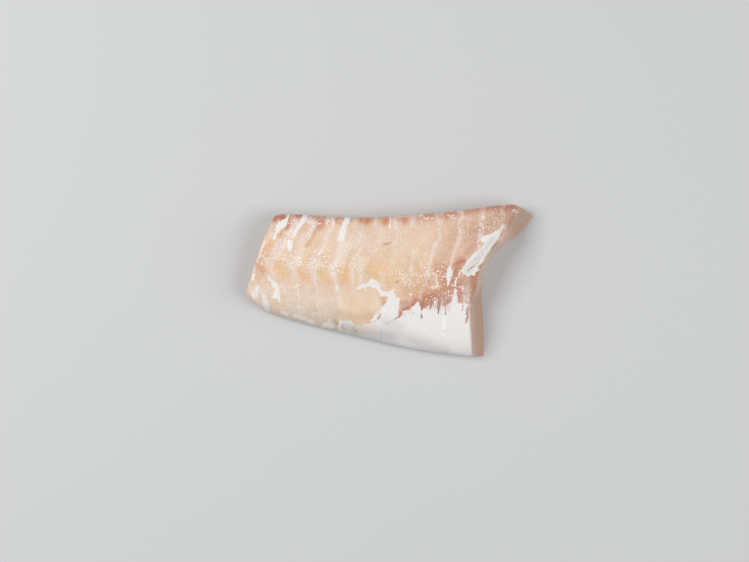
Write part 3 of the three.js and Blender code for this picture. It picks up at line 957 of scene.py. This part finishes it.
# %% Where the flesh glistens
CALM = 0.35
SHEET_EDGE = (-0.4 * MM, 0.5 * MM)
SHEET_STILL = 0.7
BELLY_STILL = 0.5
SIDE_STILL = 0.5
SIDE_STILL_DEPTH = 6 * MM
CUT_GLISTEN = 0.12
CUT_RIM_GLISTEN = 0.42
CUT_RIM_FADE = (1 * MM, 5 * MM)
GLISTEN_STROKES = [
    (9, [(256, 259, 10), (274, 258, 12), (290, 260, 13), (312, 266, 18), (346, 270, 14)]),
    (9, [(410, 279, 28), (446, 276, 36)]),
    (6, [(275, 222, 10), (350, 221, 10)]),
    (6, [(424, 218, 6), (452, 218, 7)]),
    (7, [(464, 230, 12), (478, 226, 15), (496, 218, 20)]),
    (6, [(318, 254, 8), (326, 256, 8)]),
    (5, [(351, 263, 6), (354, 265, 6)]),
    (5, [(514, 211, 7), (518, 213, 7)]),
    (5, [(401, 292, 8), (428, 292, 8)]),
    (8, [(430, 298, 14), (466, 291, 18)]),
]
under_sheet = smooth(reach, *SHEET_EDGE)
glisten = CALM * (1 - BELLY_STILL * belly_calm)
for softness, path in GLISTEN_STROKES:
    glisten = np.maximum(glisten, soft_stroke(path, softness))
side_still = SIDE_STILL * smooth(depth, 0, SIDE_STILL_DEPTH)
glisten = glisten * (1 - SHEET_STILL * under_sheet) * (1 - side_still)
cut_glisten = CUT_GLISTEN + (CUT_RIM_GLISTEN - CUT_GLISTEN) * (1 - smooth(depth, *CUT_RIM_FADE))
glisten = np.where(on_cut, cut_glisten, glisten)
print("mean glisten on top:", round(float(glisten[:TOP_POINTS].mean()), 2))

# %% Ripples, grooves and raised membrane
RIPPLE_SIZE = 2.4 * MM
RIPPLE_RISE = 0.08 * MM
FINE_SHARE = 0.5
RIPPLE_SEED = 3
FINE_SEED = 4
LATTICE = 256
SHEET_RISE = 0.08 * MM
GROOVE_DEPTH = 0.1 * MM
GROOVE_WIDTH = 1.2 * MM
HEIGHT_ALLOWANCE = 0.25 * MM


def ripple(size, seed):
    """Smooth bumps of about the given size, from -1 to 1, over the plan."""
    lattice = np.random.default_rng(seed).uniform(-1, 1, (LATTICE, LATTICE))
    place_x = x / size + LATTICE / 2
    place_y = y / size + LATTICE / 2
    low_x = np.floor(place_x).astype(int)
    low_y = np.floor(place_y).astype(int)
    fx = smooth(place_x - low_x, 0, 1)
    fy = smooth(place_y - low_y, 0, 1)
    near = lattice[low_x, low_y] * (1 - fx) + lattice[low_x + 1, low_y] * fx
    far = lattice[low_x, low_y + 1] * (1 - fx) + lattice[low_x + 1, low_y + 1] * fx
    return near * (1 - fy) + far * fy


from_sheet = np.abs(flakes - np.round(flakes)) * FLAKE_PITCH
groove = GROOVE_DEPTH * np.exp(-(from_sheet / GROOVE_WIDTH) ** 2) * band_strength
waves = ripple(RIPPLE_SIZE, RIPPLE_SEED) + FINE_SHARE * ripple(RIPPLE_SIZE / 2, FINE_SEED)
relief = SHEET_RISE * under_sheet - groove * (1 - under_sheet) + RIPPLE_RISE * glisten * waves
z = level * top_height(u, v, x, y) + (relief - HEIGHT_ALLOWANCE) * (level == 1) - rim_drop
print("highest point, mm:", round(float(z.max()) / MM, 2))

# %% [markdown]
# The finer mesh has to stay inside the solid's box. Its plan is moved to the middle of that box, and
# drawn in by a trace if it would stand out. The height allowance above did the same for the height.

# %% Centred in the solid's box
points = np.stack([x, y, z], axis=1)
plan_low = points[:, :2].min(axis=0)
plan_high = points[:, :2].max(axis=0)
solid_plan = np.array(solid_high)[:2] - np.array(solid_low)[:2]
fit = min(1.0, float((solid_plan / (plan_high - plan_low)).min()))
points[:, :2] = (points[:, :2] - (plan_low + plan_high) / 2) * fit
print("drawn in to fit the solid, share:", round(1 - fit, 5))

# %% [markdown]
# Faces are lists of point numbers. The top grid and the side rows are plain squares. An underside cell at
# the rim walks along every fine rim point on its outer edge before it turns in, which closes the skin.

# %% Faces
rim_number = {(int(i), int(j)): step for step, (i, j) in enumerate(rim)}
coarse_across = ACROSS // COARSE - 1


def top_number(i, j):
    """The number of a point on the top grid."""
    return i * (ACROSS + 1) + j


def side_number(step, level_row):
    """The number of a point on the sides. Their last row is the rim of the top."""
    step = step % RIM_STEPS
    if level_row == UP:
        return top_number(*rim[step])
    return TOP_POINTS + level_row * RIM_STEPS + step


def under_number(i, j):
    """The number of a point underneath. Its rim is the first row of the sides."""
    if (i, j) in rim_number:
        return side_number(rim_number[(i, j)], 0)
    return TOP_POINTS + SIDE_POINTS + (i // COARSE - 1) * coarse_across + j // COARSE - 1


def under_walk(start, end):
    """The points from start up to end, with every fine rim point where both lie on one edge."""
    (i0, j0), (i1, j1) = start, end
    on_edge = (i0 == i1 and i0 in (0, ALONG)) or (j0 == j1 and j0 in (0, ACROSS))
    steps = COARSE if on_edge else 1
    return [under_number(i0 + (i1 - i0) * k // steps, j0 + (j1 - j0) * k // steps) for k in range(steps)]


top_faces = [(top_number(i, j), top_number(i + 1, j), top_number(i + 1, j + 1), top_number(i, j + 1))
             for i in range(ALONG) for j in range(ACROSS)]
side_faces = [(side_number(s, r), side_number(s + 1, r), side_number(s + 1, r + 1), side_number(s, r + 1))
              for s in range(RIM_STEPS) for r in range(UP)]
under_faces = []
for i in range(0, ALONG, COARSE):
    for j in range(0, ACROSS, COARSE):
        corners = [(i, j), (i, j + COARSE), (i + COARSE, j + COARSE), (i + COARSE, j)]
        walks = [under_walk(a, b) for a, b in zip(corners, corners[1:] + corners[:1])]
        under_faces.append(sum(walks, []))
print("faces:", len(top_faces), len(side_faces), len(under_faces))

# %% [markdown]
# A call to from_pydata turns the lists into a mesh. Smooth shading rounds the flesh, while edges sharper
# than 50 degrees, such as the lower rim of a cut, stay crisp. The fillet then takes the solid's place.

# %% The fillet's mesh
SHARP_ANGLE = 50
mesh = bpy.data.meshes.new("fillet_flesh")
mesh.from_pydata(points.tolist(), [], top_faces + side_faces + under_faces)
mesh.validate()
mesh.shade_smooth()
mesh.set_sharp_from_angle(angle=math.radians(SHARP_ANGLE))
fillet = bpy.data.objects.new("fillet_flesh", mesh)
bpy.context.scene.collection.objects.link(fillet)
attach(fillet, "root")
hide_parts("cod_fillet")
print("mesh closed:", all(count == 2 for count in np.bincount([loop.edge_index for loop in mesh.loops])))

# %% [markdown]
# The painted numbers go onto the mesh as attributes, which a shader can read by name. Distances are
# stored in millimetres. How far a point lies past the rim of a cut is one of them, so that the shader can
# finish the two cuts as smooth faces with no membrane.

# %% Numbers for the shader
numbers = {
    "reach_mm": reach / MM, "ragged_mm": ragged / MM, "past_rim_mm": past_rim / MM,
    "band_half_mm": band_half, "band_strength": band_strength, "film": film, "thin": thin,
    "shaded_membrane": shaded_membrane, "bright": bright, "flakes": flakes, "glisten": glisten,
}
for name, values in numbers.items():
    attribute = mesh.attributes.new(name, "FLOAT", "POINT")
    attribute.data.foreach_set("value", values.astype(np.float32))
colours = mesh.attributes.new("tone", "FLOAT_COLOR", "POINT")
colours.data.foreach_set("color", np.hstack([tone, np.ones((x.size, 1))]).astype(np.float32).ravel())
print("attributes:", [attribute.name for attribute in mesh.attributes])

# %% [markdown]
# A flat map lays the skin out on a square: the top is the large piece, the four sides are strips under it
# and the underside is small in a corner.

# %% Flat map of the skin
MAP_SCALE = 1 / (186 * MM)
UNDER_SCALE = 1 / (560 * MM)
TOP_CORNER = (0.02, 0.485)
UNDER_CORNER = (0.02, 0.005)
SIDE_HEIGHT = 22 * MM
STRIPS = [
    (0, ALONG, 150 * MM, (0.02, 0.19)),
    (ALONG, ACROSS, 118 * MM, (0.02, 0.32)),
    (ALONG + ACROSS, ALONG, 166 * MM, (0.02, 0.45)),
    (2 * ALONG + ACROSS, ACROSS, 60 * MM, (0.67, 0.32)),
]


def flat_map(scale, corner):
    """Lays the plan on the map at a scale, from a corner."""
    shifted = points[:, :2] - points[:, :2].min(axis=0)
    return shifted * scale + np.array(corner)


def strip_corner(step, level_row):
    """The place of a side point on the map. The strip is chosen by the face's first step."""
    for first, count, length, corner in STRIPS:
        if first <= step[0] < first + count:
            along = (step[1] - first) / count * length * MAP_SCALE
            return corner[0] + along, corner[1] - (1 - level_row / UP) * SIDE_HEIGHT * MAP_SCALE
    raise ValueError("a step past the rim")


top_map = flat_map(MAP_SCALE, TOP_CORNER)
under_map = flat_map(UNDER_SCALE, UNDER_CORNER)
side_map = [strip_corner((s, s + ds), r + dr)
            for s in range(RIM_STEPS) for r in range(UP)
            for ds, dr in ((0, 0), (1, 0), (1, 1), (0, 1))]
map_places = np.vstack([top_map[np.array(top_faces).ravel()], side_map,
                        under_map[np.concatenate(under_faces)]])
skin_map = mesh.uv_layers.new(name="OFBake")
skin_map.uv.foreach_set("vector", map_places.astype(np.float32).ravel())
print("map runs from", np.round(map_places.min(axis=0), 3), "to", np.round(map_places.max(axis=0), 3))

# %% [markdown]
# One material dresses the whole fillet, because membrane, flesh and cut run into one another. It starts
# from the painted tone. Fibres that run along the flakes streak it, pale lines mark the sheets between
# flakes, film whitens it, and opaque membrane covers it wherever the reach, roughened by noise, is above
# zero.

# %% The material's tree
# Raw cod, filleted and still wet: the eye sees a soft, creamy body under a thin, uneven gloss.
material = bpy.data.materials.new("raw_cod_flesh_filleted_wet")
material.use_nodes = True
tree = material.node_tree
tree.nodes.clear()
MIX = {"out": 2, "data_type": "RGBA"}
SOFT = {"interpolation_type": "SMOOTHSTEP"}


def add(kind, links=None, out=0, **settings):
    """Adds a shader node, gives it settings and inputs, and returns one of its outputs."""
    made = tree.nodes.new("ShaderNode" + kind)
    for name, value in settings.items():
        setattr(made, name, value)
    for socket, value in (links or {}).items():
        if isinstance(value, bpy.types.NodeSocket):
            tree.links.new(value, made.inputs[socket])
        else:
            made.inputs[socket].default_value = value
    return made.outputs[out] if made.outputs else None


def span(value, start, end, low=0.0, high=1.0):
    """Inputs of a map range: a value from start to end becomes one from low to high."""
    return {"Value": value, "From Min": start, "From Max": end, "To Min": low, "To Max": high}


def swing(noise, gain):
    """Turns a noise that varies about a half into one that varies about zero, times a gain."""
    return add("Math", {0: noise, 1: gain, 2: -gain / 2}, operation="MULTIPLY_ADD")


def colour(hex_colour):
    """A colour as shader nodes take it, with its alpha."""
    return (*linear(hex_colour), 1.0)


painted = {name: add("Attribute", attribute_name=name, out=2) for name in numbers}
flesh_tone = add("Attribute", attribute_name="tone")
glisten_here = painted["glisten"]
place = add("TexCoord", out=3)
place_mm = add("VectorMath", {0: place, 1: (1 / MM, 1 / MM, 1 / MM)}, operation="MULTIPLY")
upright = add("SeparateXYZ", {0: place_mm}, out=1)
print("nodes so far:", len(tree.nodes))

# %% [markdown]
# Raw flesh is never even. Fibres streak it along the flakes, wet grains lighten or deepen it at about
# half a millimetre and at one, and broad clouds at several. Each is a noise texture whose scale is one
# over a size in millimetres. Their sum picks a shade that multiplies the tone, which makes it deeper or
# paler. A last, slow noise tints it a trace towards yellow or pink.

# %% Grain of the flesh
FIBRE_WIDTH = 0.9  # mm, several real fibres together, as single ones are too fine to show
FIBRE_LENGTH = 8.0  # mm
SPECKLE = 1.0  # mm
GRIT = 0.55  # mm
CLOUD = 7.0  # mm
SPECKLE_GAIN = 1.7
GRIT_GAIN = 0.6
GRIT_EVERYWHERE = 0.2
FIBRE_GAIN = 0.34
CLOUD_GAIN = 0.3
SIMPLE = {"Detail": 1.0, "Roughness": 0.5}
PLAIN = {"Detail": 2.0, "Roughness": 0.5}
BUSY = {"Detail": 2.0, "Roughness": 0.6}


def along_flakes(width, length, quality):
    """A noise drawn out along the flakes, with streaks of this width and length in millimetres."""
    across = add("Math", {0: painted["flakes"], 1: FLAKE_PITCH / MM / width}, operation="MULTIPLY")
    along = add("Math", {0: upright, 1: 1 / length}, operation="MULTIPLY")
    streak_place = add("CombineXYZ", {0: across, 1: along})
    return add("TexNoise", {"Vector": streak_place, "Scale": 1.0, **quality})


fibres = along_flakes(FIBRE_WIDTH, FIBRE_LENGTH, PLAIN)
speckle = add("TexNoise", {"Vector": place_mm, "Scale": 1 / SPECKLE, **BUSY})
grit = add("TexNoise", {"Vector": place_mm, "Scale": 1 / GRIT, "Detail": 0.0})
cloud = add("TexNoise", {"Vector": place_mm, "Scale": 1 / CLOUD, **PLAIN})
speckle_here = add("Math", {0: swing(speckle, SPECKLE_GAIN), 1: glisten_here}, operation="MULTIPLY")
grit_swing = swing(grit, GRIT_GAIN)
grit_share = add("MapRange", span(glisten_here, 0.0, 1.0, GRIT_EVERYWHERE))
grit_here = add("Math", {0: grit_swing, 1: grit_share}, operation="MULTIPLY")
grain_coarse = add("Math", {0: speckle_here, 1: swing(fibres, FIBRE_GAIN)}, operation="ADD")
grain_fine = add("Math", {0: grain_coarse, 1: grit_here}, operation="ADD")
grain = add("Math", {0: grain_fine, 1: swing(cloud, CLOUD_GAIN)}, operation="ADD")
print("nodes so far:", len(tree.nodes))

# %% Shade and tint of the flesh
GRAIN_RANGE = 0.22
DEEP = (0.88, 0.8, 0.72, 1)
PALE = (1.1, 1.16, 1.22, 1)
TINT = 3.0  # mm
TINT_RANGE = (0.35, 0.65)
YELLOWISH = (0.99, 1.0, 0.94, 1)
PINKISH = (1.01, 0.99, 1.04, 1)
lightness = add("MapRange", span(grain, -GRAIN_RANGE, GRAIN_RANGE))
shade = add("Mix", {0: lightness, 6: DEEP, 7: PALE}, **MIX)
shaded = add("Mix", {0: 1.0, 6: flesh_tone, 7: shade}, **MIX, blend_type="MULTIPLY")
tint_noise = add("TexNoise", {"Vector": place_mm, "Scale": 1 / TINT, **BUSY})
tint_share = add("MapRange", span(tint_noise, *TINT_RANGE))
tint = add("Mix", {0: tint_share, 6: YELLOWISH, 7: PINKISH}, **MIX)
grained = add("Mix", {0: 1.0, 6: shaded, 7: tint}, **MIX, blend_type="MULTIPLY")
print("nodes so far:", len(tree.nodes))

# %% [markdown]
# A milky band lies where the flake number is near a whole one. A slow noise lets it wander a little,
# clouds make it patchy, and the fibres split it into fine lines. Fine threads run beside it. A range
# below says where a value starts and ends, and then what these two become.

# %% Milky bands between the flakes
WANDER = 5.0  # mm
WANDER_GAIN = 0.4  # of a flake
BAND_REACH = (0.2, 1.8, 1.0, 0.0)
BAND_PATCHY = (0.36, 0.58, 0.5)
BAND_SPLIT = (-0.1, 0.1, 0.3, 1.4)
HALF_FLAKE = 0.5
band_seen = painted["band_strength"]
wander = add("TexNoise", {"Vector": place_mm, "Scale": 1 / WANDER, **PLAIN})
wandered = add("Math", {0: painted["flakes"], 1: swing(wander, WANDER_GAIN)}, operation="ADD")
to_sheet = add("Math", {0: wandered, 1: HALF_FLAKE}, operation="PINGPONG")
to_sheet_mm = add("Math", {0: to_sheet, 1: FLAKE_PITCH / MM}, operation="MULTIPLY")
in_widths = add("Math", {0: to_sheet_mm, 1: painted["band_half_mm"]}, operation="DIVIDE")
band = add("MapRange", span(in_widths, *BAND_REACH), **SOFT)
patchy = add("MapRange", span(cloud, *BAND_PATCHY))
split = add("MapRange", span(grain_coarse, *BAND_SPLIT))
band_here = add("Math", {0: band, 1: band_seen}, operation="MULTIPLY")
band_patchy = add("Math", {0: band_here, 1: patchy}, operation="MULTIPLY")
band_cover = add("Math", {0: band_patchy, 1: split}, operation="MULTIPLY", use_clamp=True)
print("nodes so far:", len(tree.nodes))

# %% Fine threads beside the bands
THREAD_WIDTH = 0.75  # mm
THREAD_LENGTH = 14.0  # mm
THREAD_RANGE = (0.55, 0.68, 0.0, 0.75)
THREAD_REACH = (0.6, 2.6, 1.0, 0.0)
BAND_WHITE = "f0e3dc"
thread_noise = along_flakes(THREAD_WIDTH, THREAD_LENGTH, SIMPLE)
threads = add("MapRange", span(thread_noise, *THREAD_RANGE), **SOFT)
thread_zone = add("MapRange", span(in_widths, *THREAD_REACH), **SOFT)
thread_band = add("Math", {0: thread_zone, 1: band_seen}, operation="MULTIPLY")
thread_cover = add("Math", {0: threads, 1: thread_band}, operation="MULTIPLY")
white_cover = add("Math", {0: band_cover, 1: thread_cover}, operation="MAXIMUM")
banded = add("Mix", {0: white_cover, 6: grained, 7: colour(BAND_WHITE)}, **MIX)
print("nodes so far:", len(tree.nodes))

# %% [markdown]
# Film only whitens the flesh, in streaks and mottles. Opaque membrane covers it wherever the reach is
# above zero, after an upright noise has torn its edge, small nicks have bitten into it and fibres have
# frayed it. A ragged edge is also a soft one, since torn membrane thins out. Where the sheet is thin,
# streaks of flesh show through.

# %% Torn edge of the membrane
TEAR_WIDE = 0.8  # mm
TEAR_HIGH = 3.6  # mm
TEAR_GAIN = 4.0
NICK_GAIN = 1.8  # mm
FRAY_GAIN = 1.0  # mm
EDGE_SOFT = 0.3  # of the raggedness
EDGE_LEAST = 0.1  # mm
EDGE_RANGE = (-1.0, 1.0)
THIN_STREAKS = (0.38, 0.6, 1.0, 0.2)
TORN = {"Detail": 3.0, "Roughness": 0.6}
ragged_mm = painted["ragged_mm"]
tear_size = (1 / TEAR_WIDE, 1 / TEAR_HIGH, 1 / TEAR_HIGH)
tear_place = add("VectorMath", {0: place_mm, 1: tear_size}, operation="MULTIPLY")
tears = add("TexNoise", {"Vector": tear_place, "Scale": 1.0, **TORN})
torn_links = {0: swing(tears, TEAR_GAIN), 1: ragged_mm, 2: painted["reach_mm"]}
torn_reach = add("Math", torn_links, operation="MULTIPLY_ADD")
nicked_reach = add("Math", {0: torn_reach, 1: swing(speckle, NICK_GAIN)}, operation="ADD")
rough_reach = add("Math", {0: nicked_reach, 1: swing(fibres, FRAY_GAIN)}, operation="ADD")
edge_soft = add("Math", {0: ragged_mm, 1: EDGE_SOFT, 2: EDGE_LEAST}, operation="MULTIPLY_ADD")
edge_reach = add("Math", {0: rough_reach, 1: edge_soft}, operation="DIVIDE")
whole_membrane = add("MapRange", span(edge_reach, *EDGE_RANGE), **SOFT)
thin_streaks = add("MapRange", span(tears, *THIN_STREAKS))
thinned = add("Math", {0: painted["thin"], 1: thin_streaks}, operation="MULTIPLY")
left_of_it = add("Math", {0: 1.0, 1: thinned}, operation="SUBTRACT")
membrane = add("Math", {0: whole_membrane, 1: left_of_it}, operation="MULTIPLY", use_clamp=True)
print("nodes so far:", len(tree.nodes))

# %% Thin film over the flesh
FILM_STREAKS = (0.3, 0.6, 0.55)
FILM_MOTTLE = (0.38, 0.58, 0.6, 1.2)
FILM_WHITE = "efeae7"
film_streaks = add("MapRange", span(tears, *FILM_STREAKS))
film_mottle = add("MapRange", span(speckle, *FILM_MOTTLE))
film_streaked = add("Math", {0: painted["film"], 1: film_streaks}, operation="MULTIPLY")
film_seen = add("Math", {0: film_streaked, 1: film_mottle}, operation="MULTIPLY", use_clamp=True)
filmed = add("Mix", {0: film_seen, 6: banded, 7: colour(FILM_WHITE)}, **MIX)
print("nodes so far:", len(tree.nodes))

# %% Colour of the membrane
MEMBRANE_GRIT = 0.3
MEMBRANE_RANGE = (0.3, 0.7)
MEMBRANE_DEEP = "ebe6e4"
MEMBRANE_WHITE = "f1eeec"
SHADED_MEMBRANE_GREY = "cac6c6"
membrane_grain = add("Math", {0: grit_swing, 1: MEMBRANE_GRIT, 2: tears}, operation="MULTIPLY_ADD")
membrane_shade = add("MapRange", span(membrane_grain, *MEMBRANE_RANGE))
clean_pair = {0: membrane_shade, 6: colour(MEMBRANE_DEEP), 7: colour(MEMBRANE_WHITE)}
membrane_clean = add("Mix", clean_pair, **MIX)
# Painted shade greys the membrane where its strokes lie.
membrane_tone = add("Mix", {0: painted["shaded_membrane"], 6: membrane_clean, 7: colour(SHADED_MEMBRANE_GREY)}, **MIX)
covered = add("Mix", {0: membrane, 6: filmed, 7: membrane_tone}, **MIX)
print("nodes so far:", len(tree.nodes))

# %% [markdown]
# A knife leaves a smoother, duller face. It has no film or membrane, less grain and only a trace of the
# bands. It begins a little before or after the rim, because soft flesh drags on the blade.

# %% Knife cuts
CUT_WANDER = 1.6  # mm
CUT_START = -0.6  # mm from the rim
CUT_WHOLE = 1.8  # mm
CUT_GRAIN = 0.8
CUT_BAND = 0.45
CUT_BAND_WHITE = "e6d2c6"
cut_edge = add("Math", {0: swing(speckle, CUT_WANDER), 1: painted["past_rim_mm"]}, operation="ADD")
cut_cover = add("MapRange", span(cut_edge, CUT_START, CUT_WHOLE), **SOFT)
cut_tone = add("Mix", {0: CUT_GRAIN, 6: flesh_tone, 7: shade}, **MIX, blend_type="MULTIPLY")
cut_band = add("Math", {0: band_cover, 1: CUT_BAND}, operation="MULTIPLY")
cut_banded = add("Mix", {0: cut_band, 6: cut_tone, 7: colour(CUT_BAND_WHITE)}, **MIX)
cut_colour = add("Mix", {0: cut_cover, 6: covered, 7: cut_banded}, **MIX)
print("nodes so far:", len(tree.nodes))

# %% [markdown]
# Wet flesh throws back sparks of light. A glossy coat alone gives too few of them under soft lamps, so
# small pale flecks are painted where the flesh glistens, and larger ones where the picture shows them.

# %% Flecks that catch the light
FLECK_LONG = 1.2  # mm
FLECK_HIGH = 0.68  # mm
FLECK_ZONE = 0.22
FLECK_CLUMP = 0.3
FLECK_RANGE = (0.77, 0.79)
FLECK_UNEVEN = (0.38, 0.55, 0.65)
BRIGHT_BROKEN = (0.4, 0.55, 0.4)
FLECK_WHITE = "fffdfa"
fleck_size = (1 / FLECK_LONG, 1 / FLECK_HIGH, 1 / FLECK_HIGH)
fleck_place = add("VectorMath", {0: place_mm, 1: fleck_size}, operation="MULTIPLY")
fleck_noise = add("TexNoise", {"Vector": fleck_place, "Scale": 1.0, **SIMPLE})
fleck_zone = add("Math", {0: glisten_here, 1: FLECK_ZONE, 2: -FLECK_ZONE}, operation="MULTIPLY_ADD")
fleck_clump = add("Math", {0: cloud, 1: FLECK_CLUMP, 2: fleck_zone}, operation="MULTIPLY_ADD")
fleck_level = add("Math", {0: fleck_noise, 1: fleck_clump}, operation="ADD")
flecks = add("MapRange", span(fleck_level, *FLECK_RANGE), **SOFT)
fleck_uneven = add("MapRange", span(speckle, *FLECK_UNEVEN))
fleck_cover = add("Math", {0: flecks, 1: fleck_uneven}, operation="MULTIPLY")
bright_broken = add("MapRange", span(speckle, *BRIGHT_BROKEN))
bright_seen = add("Math", {0: painted["bright"], 1: bright_broken}, operation="MULTIPLY")
all_flecks = add("Math", {0: fleck_cover, 1: bright_seen}, operation="MAXIMUM")
skin_colour = add("Mix", {0: all_flecks, 6: cut_colour, 7: colour(FLECK_WHITE)}, **MIX)
print("nodes so far:", len(tree.nodes))

# %% [markdown]
# A thin layer of water lies over the flesh. Two bumps draw what is finer than the mesh: grains and fibres
# bump the flesh, and soft waves bump only the clear coat, which breaks up its reflections. Membrane is a
# little duller than flesh. A trace of light passes into the flesh and softens its shadows.

# %% Wet shine
WET_RIPPLE = 1.9  # mm
WET_WAVES = {"Detail": 1.0, "Roughness": 0.4}
WET_LEAST = 0.1
FIBRE_BUMP = 0.15
FLESH_BUMP = 0.3 * MM
COAT_BUMP = 2.0 * MM
FLESH_ROUGHNESS = 0.34
MEMBRANE_ROUGHNESS = 0.45
speckle_height = add("Math", {0: speckle, 1: glisten_here}, operation="MULTIPLY")
flesh_height = add("Math", {0: fibres, 1: FIBRE_BUMP, 2: speckle_height}, operation="MULTIPLY_ADD")
bumped = add("Bump", {"Strength": 1.0, "Distance": FLESH_BUMP, "Height": flesh_height})
wet = add("TexNoise", {"Vector": place_mm, "Scale": 1 / WET_RIPPLE, **WET_WAVES})
wet_share = add("MapRange", span(glisten_here, CALM, 1.0, WET_LEAST))
wet_height = add("Math", {0: wet, 1: wet_share}, operation="MULTIPLY")
wet_film = add("Bump", {"Strength": 1.0, "Distance": COAT_BUMP, "Height": wet_height})
roughness = add("MapRange", span(membrane, 0.0, 1.0, FLESH_ROUGHNESS, MEMBRANE_ROUGHNESS))
shader = add("BsdfPrincipled", {
    "Base Color": skin_colour, "Roughness": roughness, "IOR": 1.38, "Specular IOR Level": 0.3,
    "Normal": bumped, "Coat Weight": 0.5, "Coat Roughness": 0.1, "Coat IOR": 1.4, "Coat Normal": wet_film,
    "Subsurface Weight": 0.05, "Subsurface Radius": (1.0, 0.6, 0.4), "Subsurface Scale": 1.2 * MM,
})
add("OutputMaterial", {"Surface": shader})
mesh.materials.append(material)
print("nodes in the material:", len(tree.nodes))

# %% [markdown]
# A plain pale floor catches a soft shadow. It is large, so that no edge shows from a low view, and it
# lies a hair below the fillet, so that the two faces don't flicker through each other.

# %% Floor
FLOOR_SIZE = 6.0
FLOOR_GAP = 0.05 * MM
FLOOR_TONE = "cfd0d1"
FLOOR_ROUGHNESS = 0.9
half = FLOOR_SIZE / 2
floor_corners = [(-half, -half, 0), (half, -half, 0), (half, half, 0), (-half, half, 0)]
floor_mesh = bpy.data.meshes.new("floor")
floor_mesh.from_pydata(floor_corners, [], [(0, 1, 2, 3)])
floor = bpy.data.objects.new("floor", floor_mesh)
floor.location.z = -FLOOR_GAP
bpy.context.scene.collection.objects.link(floor)
# Matt paint: the eye sees an even ground with no reflection of the fillet in it.
floor_paint = bpy.data.materials.new("pale_matt_floor")
floor_paint.use_nodes = True
floor_shader = floor_paint.node_tree.nodes["Principled BSDF"]
floor_shader.inputs["Base Color"].default_value = colour(FLOOR_TONE)
floor_shader.inputs["Roughness"].default_value = FLOOR_ROUGHNESS
floor_mesh.materials.append(floor_paint)
print("floor, metres square:", FLOOR_SIZE)

# %% [markdown]
# Light comes from all round, as in a white tent, and from three large soft lamps: the strongest high on
# the tail side, one opposite it, and a weak one lower down at the head end. Each lamp faces the fillet.

# %% Light
TENT_STRENGTH = 0.3
LAMP_SIZE = 0.7
LAMPS = [
    ("key_lamp", (-0.95, 0.30, 1.15), 14.0),
    ("fill_lamp", (0.75, -0.2, 1.27), 6.0),
    ("side_lamp", (1.3, 0.0, 0.75), 3.0),
]
world = bpy.data.worlds.new("white_tent")
bpy.context.scene.world = world
world.use_nodes = True
tent = world.node_tree.nodes["Background"]
tent.inputs["Color"].default_value = (1, 1, 1, 1)
tent.inputs["Strength"].default_value = TENT_STRENGTH
for name, spot, power in LAMPS:
    lamp = bpy.data.lights.new(name, "AREA")
    lamp.size = LAMP_SIZE
    lamp.energy = power
    lamp_object = bpy.data.objects.new(name, lamp)
    lamp_object.location = spot
    direction = lamp_object.location.normalized()
    lamp_object.rotation_euler = direction.to_track_quat("Z", "Y").to_euler()
    lamp_object.visible_camera = False
    bpy.context.scene.collection.objects.link(lamp_object)
bpy.context.scene.view_settings.view_transform = "Standard"
print("lamps:", [name for name, spot, power in LAMPS])

# %% [markdown]
# The camera hangs straight above, far enough away that the fillet's height hardly shifts its outline.

# %% Camera
CAMERA_HEIGHT = 3.0
SENSOR = 0.036
camera_data = bpy.data.cameras.new("camera_above")
camera_data.sensor_width = SENSOR / MM
camera_data.lens = SENSOR * CAMERA_HEIGHT / (IMAGE_WIDTH * PIXEL) / MM
camera = bpy.data.objects.new("camera_above", camera_data)
view_middle = from_picture([(IMAGE_WIDTH / 2, IMAGE_HEIGHT / 2)])[0]
camera.location = (view_middle[0], view_middle[1], CAMERA_HEIGHT)
bpy.context.scene.collection.objects.link(camera)
bpy.context.scene.camera = camera
print("lens, mm:", round(camera_data.lens, 1))
